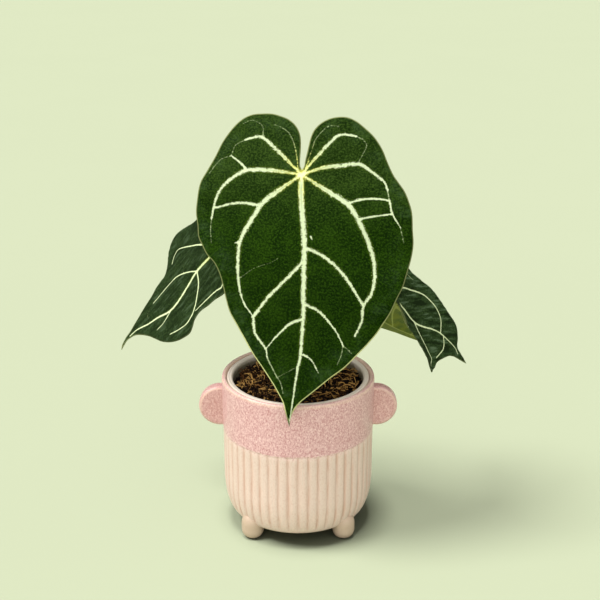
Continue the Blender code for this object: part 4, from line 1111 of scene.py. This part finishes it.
def fibres(settings, material):
    """Thin curved fibres as one mesh. Each runs from start to end and bends by its sag between them."""
    rings, sides = 6, 4
    draw = np.random.default_rng(FIBRE_SEED)
    count = settings.fibres
    x, y = scattered(draw, count, 0.05, SOIL_RADIUS - 4 * MM)
    starts, fallen = settled(draw, x, y, -1.0, 2.4, 3.2 * MM)
    length = draw.uniform(3.5, 9.0, count)[:, None] * MM
    way = draw.uniform(0, math.tau, count)
    ends = starts + stacked(np.cos(way), np.sin(way), draw.normal(0, 0.22, count)) * length
    off = ends[:, :2] - (AXIS_X, AXIS_Y)
    out = np.linalg.norm(off, axis=-1, keepdims=True)
    ends[:, :2] = (AXIS_X, AXIS_Y) + off * np.minimum(1, (SOIL_RADIUS - 1 * MM) / out)
    sags = draw.normal(0, 0.42, (count, 3)) * length
    sags[:, 2] = np.abs(sags[:, 2]) * 0.5
    bright = np.where(draw.uniform(0, 1, count) < 0.4, 0.95, 0.18)
    # Fibres that have fallen further are darker: painted shade in the hollows and over the front of the
    # soil.
    tones = np.clip(bright + 0.3 * clumps(x, y) + draw.normal(0, 0.12, count) - 0.6 * fallen, 0, 1)
    radii = draw.uniform(0.26, 0.62, count) * MM
    shares = np.linspace(0, 1, rings)
    line = starts[:, None] + (ends - starts)[:, None] * shares[:, None]
    line = line + sags[:, None] * np.sin(math.pi * shares)[:, None]
    ahead = unit(np.gradient(line, axis=1))
    across = unit(np.cross(ahead, (0.3, 0.2, 0.93)))
    other = np.cross(ahead, across)
    taper = np.sin(np.clip(shares, 0.08, 0.92) * math.pi) ** 0.5
    turns = round_angles(sides)[:, None]
    ring = across[:, :, None] * np.cos(turns) + other[:, :, None] * np.sin(turns)
    points = line[:, :, None] + ring * (radii[:, None, None, None] * taper[:, None, None])
    faces = np.array(grid_faces(rings, sides))
    loose_piece("coir_fibres", points.reshape(count, -1, 3), faces, tones, material)


def crown_piece(material):
    """The short stem that the stalks rise from, ringed by old leaf scars."""
    rows = [(CROWN_RADIUS, height) for height in np.linspace(CROWN_TOP - 18 * MM, CROWN_TOP - 1.5 * MM, 26)]
    rows += arc((CROWN_RADIUS - 3 * MM, CROWN_TOP - 1.5 * MM), (3 * MM, 2 * MM), 0, 90, 5)[1:]
    rows += [(CROWN_RADIUS * 0.5, CROWN_TOP + 0.6 * MM), (CROWN_RADIUS * 0.2, CROWN_TOP + 0.8 * MM)]
    rows += [(0.3 * MM, CROWN_TOP + 0.8 * MM)]
    radius, height = np.array(rows).T[..., None]
    angles = round_angles(96)
    scars = 0.5 * MM * np.sin(height / (1.1 * MM) + 0.8 * np.sin(angles * 2))
    lobes = 0.8 * MM * np.sin(5 * angles + height / (6 * MM))
    radius = radius + (scars + lobes) * radius / CROWN_RADIUS
    grid_piece("crown_stem", about_axis(radius, angles, height), "crown_bark", material, "crown")


def curve(points, fine, step):
    """Catmull-Rom curve through the points, sampled about every fine, then evenly, about step apart."""
    points = np.array(points, float)
    full = np.vstack([2 * points[0] - points[1], points, 2 * points[-1] - points[-2]])
    samples = []
    for i in range(1, len(full) - 2):
        p0, p1, p2, p3 = full[i - 1 : i + 3]
        count = max(1, round(float(np.linalg.norm(p2 - p1)) / fine))
        for t in np.arange(count) / count:
            cubic = 2 * p1 + (p2 - p0) * t + (2 * p0 - 5 * p1 + 4 * p2 - p3) * t**2
            samples.append(0.5 * (cubic + (3 * p1 - p0 - 3 * p2 + p3) * t**3))
    samples = np.array([*samples, points[-1]])
    lengths = np.concatenate([[0], np.cumsum(np.linalg.norm(np.diff(samples, axis=0), axis=1))])
    places = np.linspace(0, lengths[-1], max(2, round(lengths[-1] / step) + 1))
    return np.stack([np.interp(places, lengths, column) for column in samples.T], axis=1)


class Blade:
    """The curved sheet that a leaf's flat drawing lies on, in millimetres from the pot's axis."""

    def __init__(self, leaf):
        self.leaf = leaf
        self.junction = np.array(leaf["junction"], float)
        along = np.array(leaf["tip"], float) - self.junction
        self.length = float(np.linalg.norm(along))
        self.along = along / self.length
        azimuth = math.atan2(self.along[1], self.along[0])
        pitch = math.asin(-self.along[2])
        ahead = math.sin(pitch)
        level_up = np.array([ahead * math.cos(azimuth), ahead * math.sin(azimuth), math.cos(pitch)])
        level_across = np.cross(self.along, level_up)
        roll = math.radians(leaf["roll"])
        self.across = level_across * math.cos(roll) + level_up * math.sin(roll)
        self.up = level_up * math.cos(roll) - level_across * math.sin(roll)

    def height(self, u, v):
        leaf = self.leaf
        share = 2 * v / self.length - 1
        height = leaf["bow"] * (1 - share**2) - leaf["curl"] * (u / 50) ** 2
        height = height + leaf["wave"] * (u / 60) ** 2 * np.sin(v / 11 + np.sign(u) * 0.9)
        if "sag" in leaf:
            depth, place, reach = leaf["sag"]
            height = height - depth * np.exp(-(((v - place) / reach) ** 2))
            sides = [(u - at[0]) * way[0] + (v - at[1]) * way[1] for at, way in FOLD_LINES]
            beyond = np.minimum(*sides) - 1
            height = height + leaf["fold"] * 0.5 * (beyond + np.sqrt(beyond**2 + 6))
        return height

    def at(self, u, v, lift=0.0):
        height = self.height(u, v) + lift
        flat = u[..., None] * self.across + v[..., None] * self.along
        return self.junction + flat + height[..., None] * self.up

    def normal(self, u, v):
        step = 0.5
        du = self.at(u + step, v) - self.at(u - step, v)
        dv = self.at(u, v + step) - self.at(u, v - step)
        return unit(np.cross(du, dv))


def in_row_frame(points):
    """Points in millimetres from the pot's axis, as metres in the row frame."""
    return points * MM + (AXIS_X, AXIS_Y, 0.0)


def inside(points, outline):
    """Which flat points lie inside the closed outline."""
    within = np.zeros(len(points), bool)
    ends = np.roll(outline, -1, axis=0)
    for (x0, y0), (x1, y1) in zip(outline, ends):
        crosses = (y0 > points[:, 1]) != (y1 > points[:, 1])
        if y0 != y1:
            within ^= crosses & (points[:, 0] < (x1 - x0) * (points[:, 1] - y0) / (y1 - y0) + x0)
    return within


def nearest_on(points, path):
    """Each flat point's distance to the path, and how far along the path it is nearest, from 0 to 1."""
    start = path[:-1]
    way = path[1:] - start
    share = np.clip(((points[:, None] - start) * way).sum(-1) / (way**2).sum(-1), 0, 1)
    gaps = np.linalg.norm(points[:, None] - start - way * share[..., None], axis=-1)
    best = gaps.argmin(axis=1)
    rows = np.arange(len(points))
    return gaps[rows, best], (best + share[rows, best]) / len(way)


class Drawing:
    """A leaf's flat drawing: outline, veins, triangles, and how far each point is from what is drawn."""

    # Distances between points along the margin, along veins, near both and far from them, and how far from
    # both the near ones reach, in millimetres.
    edge_step = 1.5
    vein_step = 1.4
    fine_step = 1.35
    wide_step = 2.8
    fine_reach = 4.2

    def __init__(self, leaf):
        plus = curve(leaf["edge_plus"], 1.0, self.edge_step)
        minus = curve(leaf["edge_minus"], 1.0, self.edge_step)
        self.outline = np.vstack([plus, minus[-2:0:-1]])
        self.paths = [curve(points, 1.0, self.vein_step) for _, _, _, points in leaf["veins"]]
        self.flat, self.triangles = self.triangulate()
        self.measure(leaf["veins"])

    def filler(self, step, drawn, least, most):
        """Points inside the outline, in rows this step apart, between least and most from what is drawn."""
        low, high = self.outline.min(axis=0), self.outline.max(axis=0)
        rows = []
        for row, v in enumerate(np.arange(low[1], high[1], step * 0.866)):
            across = np.arange(low[0] + step / 2 * (row % 2), high[0], step)
            rows.append(stacked(across, v))
        points = np.vstack(rows)
        points = points[inside(points, self.outline)]
        gaps = np.array([drawn.find((u, v, 0))[2] for u, v in points])
        return points[(gaps > least) & (gaps < most)]

    def triangulate(self):
        drawn = np.vstack([self.outline, *self.paths])
        tree = KDTree(len(drawn))
        for i, (u, v) in enumerate(drawn):
            tree.insert((u, v, 0), i)
        tree.balance()
        fine = self.filler(self.fine_step, tree, 0.8 * self.fine_step, self.fine_reach)
        wide = self.filler(self.wide_step, tree, self.fine_reach + 0.4 * self.wide_step, np.inf)
        points = list(self.outline)
        edges = [(i, (i + 1) % len(points)) for i in range(len(points))]
        for path in self.paths:
            first = len(points)
            points += list(path)
            edges += [(i, i + 1) for i in range(first, len(points) - 1)]
        points = [Vector(point) for point in [*points, *fine, *wide]]
        flat, _, triangles, _, _, _ = delaunay_2d_cdt(points, edges, [], 0, 0.1, False)
        flat = np.array([tuple(point) for point in flat])
        triangles = np.array([tuple(triangle) for triangle in triangles])
        triangles = triangles[inside(flat[triangles].mean(axis=1), self.outline)]
        used, renumbered = np.unique(triangles, return_inverse=True)
        return flat[used], renumbered.reshape(-1, 3)

    def measure(self, veins):
        count = len(self.flat)
        self.beside, self.from_vein = np.full((2, count), np.inf)
        self.half_width, self.fullness, self.from_centre = np.zeros((3, count))
        away = np.hypot(self.flat[:, 0], self.flat[:, 1])
        for (start, end, fullness, points), path in zip(veins, self.paths):
            gap, along = nearest_on(self.flat, path)
            midrib = path is self.paths[0]
            half = (start + (end - start) * along ** (1.8 if midrib else 1.4)) / 2
            if points[0] == (0, 0):
                half = half * (0.45 + 0.55 * ease(away, 1, 9 if midrib else 34))
            nearer = gap - half < self.beside
            self.beside[nearer] = (gap - half)[nearer]
            self.from_centre[nearer] = gap[nearer]
            self.half_width[nearer] = half[nearer]
            self.fullness[nearer] = fullness
            if fullness > 0.7:
                self.from_vein = np.minimum(self.from_vein, gap)
        closed = np.vstack([self.outline, self.outline[:1]])
        self.inward, along = nearest_on(self.flat, closed)
        self.around = along * np.linalg.norm(np.diff(closed, axis=0), axis=1).sum()


def leaf_piece(key, settings, upper, under):
    """A leaf with its quilting, its vein beads and keels, and its rolled margin."""
    leaf = LEAVES[key]
    blade, drawing = Blade(leaf), Drawing(leaf)
    u, v = drawing.flat.T
    inward, half, reach = drawing.inward, drawing.half_width, drawing.beside + drawing.half_width
    quilt = settings.quilt / MM * (1 - np.exp(-(np.sqrt(drawing.from_vein**2 + 1) - 1) / QUILT_REACH))
    share = np.clip(half / WIDEST_HALF, 0.1, 1.0)
    bead = share * np.clip(1 - reach**2 / (half + 0.3) ** 2, 0, 1) * drawing.fullness
    bead = bead * settings.vein_bead / MM
    ripple = waver(stacked(drawing.around / 3.2, inward / 16, 0.0), 1.0, 4) * between(inward, 0.5, 4, 14, 26)
    turn, along_rate, across_rate, ridge = leaf["weft"]
    sine, cosine = math.sin(math.radians(turn)), math.cos(math.radians(turn))
    weft = stacked((u * sine + v * cosine) * along_rate, (u * cosine - v * sine) * across_rate, 0.0)
    pucker = ridge * waver(weft, 1.0, 6) * ease(drawing.from_vein, 1, 6)
    lift = quilt + RIPPLE * ripple + pucker - MARGIN_ROLL * (1 - ease(inward, 0, 2.2))
    keel = settings.vein_keel / MM * share * np.exp(-((reach / KEEL_REACH) ** 2)) * drawing.fullness
    thickness = settings.thickness / MM * (0.55 + 0.45 * ease(inward, 0, 3))
    normal = blade.normal(u, v)
    top = blade.at(u, v, lift + bead)
    below = blade.at(u, v, lift) - normal * (thickness + keel)[:, None]
    upper_faces = drawing.triangles
    corners = top[upper_faces]
    ways = np.cross(corners[:, 1] - corners[:, 0], corners[:, 2] - corners[:, 0])
    if (ways * normal[upper_faces[:, 0]]).sum() < 0:
        upper_faces = upper_faces[:, ::-1]
    count = len(u)
    under_faces = upper_faces[:, ::-1] + count
    steps = np.concatenate([upper_faces[:, [0, 1]], upper_faces[:, [1, 2]], upper_faces[:, [2, 0]]])
    directed = {tuple(step) for step in steps.tolist()}
    walls = sorted((b, a, a + count, b + count) for a, b in directed if (b, a) not in directed)
    faces = upper_faces.tolist() + under_faces.tolist() + walls
    slots = [0] * len(upper_faces) + [1] * len(under_faces) + [0] * len(walls)
    attributes = {
        "beside": drawing.beside,
        "fullness": drawing.fullness,
        "flat": stacked(u, v, 0.0),
        "weft": weft,
        "rim": stacked(drawing.around, inward, drawing.from_centre),
    }
    attributes = {name: np.concatenate([values, values]) for name, values in attributes.items()}
    points = in_row_frame(np.vstack([top, below]))
    mesh_piece("leaf_blade_" + key, points, faces, [upper, under], "leaf_" + key, attributes, slots)


def stalk_path(leaf, step):
    """Centre line of a leaf's stalk, from its seat in the crown to under the blade."""
    blade = Blade(leaf)
    origin = np.zeros(1)
    normal = blade.normal(origin, origin)[0]
    end = blade.at(origin, origin)[0] - normal * 1.3
    start = [(*leaf["foot"], SOIL_Z / MM - 6.0 + rise) for rise in (0, 6, 11, 14)]
    return curve(start + leaf["route"] + [tuple(end - normal * 9), tuple(end)], 2.0, step)


def swept(path, radii, turns):
    """Points of a tube round a path. Its rings turn as little as they can."""
    ahead = unit(np.gradient(path, axis=0))
    across = np.cross(ahead[0], (0.0, 1.0, 0.1))
    rings = []
    for centre, way, radius in zip(path, ahead, radii):
        across = unit(across - way * np.dot(across, way))
        ring = across * np.cos(turns) + np.cross(way, across) * np.sin(turns)
        rings.append(centre + ring * radius)
    return np.array(rings)


def stalk_piece(key, material):
    """A round stalk, swollen at the foot and at the knee, where fine rings mark the joint with the blade."""
    path = stalk_path(LEAVES[key], 1.5)
    run = np.linspace(0, 1, len(path))
    length = np.linalg.norm(np.diff(path, axis=0), axis=1).sum()
    from_foot, from_knee = run * length, (1 - run) * length
    radius = 2.2 + 1.0 * np.clip(1 - from_foot / 40, 0, 1) + 0.7 * np.clip(1 - (from_knee - 5) / 14, 0, 1)
    radius += 0.12 * np.sin(from_knee * 3.2) * (from_knee < 16)
    turns = round_angles(20)
    groove = 1 - 0.1 * np.exp(-(((turns - math.pi) / 0.4) ** 2))
    rings = swept(path, radius[:, None, None] * groove[:, None], turns[:, None])
    flat = stacked(turns * 2.2, from_foot[:, None], 0.0)
    tones = {"run": np.repeat(run, len(turns)), "flat": flat}
    grid_piece("stalk_" + key, in_row_frame(rings), "stalk", material, "petiole_" + key, **tones)


class PLANT_OT_cover_pot(bpy.types.Operator):
    """Build the cover pot's body, lugs and feet with their glaze"""

    bl_idname = "plant.cover_pot"
    bl_label = "Cover Pot"

    def execute(self, context):
        settings = context.scene.plant_pot
        material = pot_material(settings)
        pot_body(settings, material)
        for side in (-1, 1):
            pot_ear(settings, material, side)
        for row, y in (("front", -FOOT_OFFSET), ("back", FOOT_OFFSET)):
            for hand, x in (("left", -FOOT_OFFSET), ("right", FOOT_OFFSET)):
                pot_foot(settings, material, x, y, f"cover_pot_foot_{row}_{hand}")
        return {"FINISHED"}


class PLANT_OT_nursery_pot(bpy.types.Operator):
    """Build the nursery pot that stands in the cover pot"""

    bl_idname = "plant.nursery_pot"
    bl_label = "Nursery Pot"

    def execute(self, context):
        nursery_pot(plastic_material(context.scene.plant_pot))
        return {"FINISHED"}


class PLANT_OT_soil(bpy.types.Operator):
    """Fill the nursery pot with coir and set the crown in it"""

    bl_idname = "plant.soil"
    bl_label = "Soil and Crown"

    def execute(self, context):
        settings = context.scene.plant_soil
        coir = coir_material(settings)
        soil_bed(coir)
        crumbs(settings, coir)
        fibres(settings, coir)
        crown_piece(bark_material(settings))
        return {"FINISHED"}


class PLANT_OT_stalks(bpy.types.Operator):
    """Build the four stalks"""

    bl_idname = "plant.stalks"
    bl_label = "Stalks"

    def execute(self, context):
        material = stalk_material(context.scene.plant_leaf)
        for key in LEAVES:
            stalk_piece(key, material)
        return {"FINISHED"}


class PLANT_OT_leaves(bpy.types.Operator):
    """Build the four leaves with their veins"""

    bl_idname = "plant.leaves"
    bl_label = "Leaves"

    def execute(self, context):
        settings = context.scene.plant_leaf
        under = under_material(settings)
        for key in LEAVES:
            leaf_piece(key, settings, upper_material(settings, key), under)
        return {"FINISHED"}


def sun(name, way, strength, angle, receivers, blockers=None, colour=(1.0, 1.0, 1.0)):
    """A sun that shines along this way on its receivers, with the shadows of its blockers."""
    light = bpy.data.lights.new(name, "SUN")
    light.energy = strength
    light.angle = angle
    light.color = colour
    obj = bpy.data.objects.new(name, light)
    obj.rotation_euler = way.to_track_quat("-Z", "Y").to_euler()
    obj.light_linking.receiver_collection = receivers
    obj.light_linking.blocker_collection = blockers
    bpy.context.scene.collection.objects.link(obj)


def linked(name, objects, state):
    """A collection for light linking, in which each of these objects has this state."""
    group = bpy.data.collections.new(name)
    for obj in objects:
        group.objects.link(obj)
    for entry in group.collection_objects:
        entry.light_linking.link_state = state
    return group


class PLANT_OT_stage(bpy.types.Operator):
    """Set the floor, the light and the camera"""

    bl_idname = "plant.stage"
    bl_label = "Stage"

    def execute(self, context):
        scene, settings = context.scene, context.scene.plant_stage
        scene.view_settings.view_transform = "Standard"
        floor = self.set_floor(scene, settings)
        self.set_sky(scene, settings)
        self.set_suns(scene, settings, floor)
        self.set_camera(scene, settings)
        return {"FINISHED"}

    def set_floor(self, scene, settings):
        mesh = bpy.data.meshes.new("floor")
        corners = [(x * FLOOR_REACH, y * FLOOR_REACH, 0) for x, y in ((-1, -1), (1, -1), (1, 1), (-1, 1))]
        mesh.from_pydata(corners, [], [(0, 1, 2, 3)])
        mesh.materials.append(floor_material(settings))
        floor = bpy.data.objects.new("floor", mesh)
        scene.collection.objects.link(floor)
        return floor

    def set_sky(self, scene, settings):
        world = bpy.data.worlds.new("studio")
        world.use_nodes = True
        wires = Wiring(world.node_tree)
        background = world.node_tree.nodes["Background"].inputs
        seen = wires.add("LightPath")
        toward = wires.vectors("DOT_PRODUCT", wires.add("TexCoord"), SKY_WAY, output=1)
        sky = wires.remap(toward, *SKY_SPREAD, SKY_LEAST * settings.ambient, settings.ambient)
        wires.feed(background["Color"], wires.layered(SKY_COLOUR, (seen, 1, settings.floor)))
        wires.feed(background["Strength"], wires.remap(seen, 0.0, 1.0, sky, 1.0))
        scene.world = world

    def set_suns(self, scene, settings, floor):
        back_leaf = [obj for obj in scene.objects if obj.name in ("leaf_blade_back", "stalk_back")]
        pot = [obj for obj in scene.objects if obj.name.startswith(("cover_pot_body", "cover_pot_foot"))]
        plant_only = linked("plant_only", [floor], "EXCLUDE")
        floor_only = linked("floor_only", [floor], "INCLUDE")
        no_back_leaf = linked("no_back_leaf", back_leaf, "EXCLUDE")
        pot_only = linked("pot_only", pot, "INCLUDE")
        sun("key", KEY_WAY, settings.key, settings.softness, plant_only, colour=KEY_COLOUR)
        sun("fill", FILL_WAY, settings.fill, FILL_ANGLE, plant_only)
        sun("floor_key", CAST_WAY, settings.cast, CAST_ANGLE, floor_only, no_back_leaf)
        sun("floor_top", TOP_WAY, settings.top, TOP_ANGLE, floor_only, pot_only)

    def set_camera(self, scene, settings):
        lens = bpy.data.cameras.new("camera")
        lens.lens = settings.lens
        lens.sensor_width = 36.0
        lens.clip_start = 0.01
        camera = bpy.data.objects.new("camera", lens)
        back, up = math.cos(CAMERA_RISE), math.sin(CAMERA_RISE)
        camera.location = (AXIS_X + CAMERA_SIDE, AXIS_Y - back, AIM_Z + up)
        camera.rotation_euler = (math.radians(90) - CAMERA_DIP, 0.0, 0.0)
        scene.collection.objects.link(camera)
        scene.camera = camera


class PLANT_PT_panel(bpy.types.Panel):
    """The anthurium's settings and the operators that build it"""

    bl_label = "Potted Anthurium"
    bl_space_type = "VIEW_3D"
    bl_region_type = "UI"
    bl_category = "Anthurium"

    def draw(self, context):
        layout = self.layout
        for group, _, operators in PANEL_ROWS:
            box = layout.box()
            settings = getattr(context.scene, group)
            for name in settings.bl_rna.properties.keys():
                if name not in ("rna_type", "name"):
                    box.prop(settings, name)
            for operator in operators:
                box.operator(operator.bl_idname)


PANEL_ROWS = (
    ("plant_pot", PotSettings, (PLANT_OT_cover_pot, PLANT_OT_nursery_pot)),
    ("plant_soil", SoilSettings, (PLANT_OT_soil,)),
    ("plant_leaf", LeafSettings, (PLANT_OT_stalks, PLANT_OT_leaves)),
    ("plant_stage", StageSettings, (PLANT_OT_stage,)),
)
OPERATORS = [operator for _, _, operators in PANEL_ROWS for operator in operators]
CLASSES = [group for _, group, _ in PANEL_ROWS] + OPERATORS + [PLANT_PT_panel]


def register():
    for made in CLASSES:
        bpy.utils.register_class(made)
    for name, group, _ in PANEL_ROWS:
        setattr(bpy.types.Scene, name, bpy.props.PointerProperty(type=group))


def unregister():
    for name, _, _ in PANEL_ROWS:
        delattr(bpy.types.Scene, name)
    for made in reversed(CLASSES):
        bpy.utils.unregister_class(made)


def main():
    register()
    for operator in OPERATORS:
        module, name = operator.bl_idname.split(".")
        getattr(getattr(bpy.ops, module), name)()


if __name__ == "__main__":
    main()
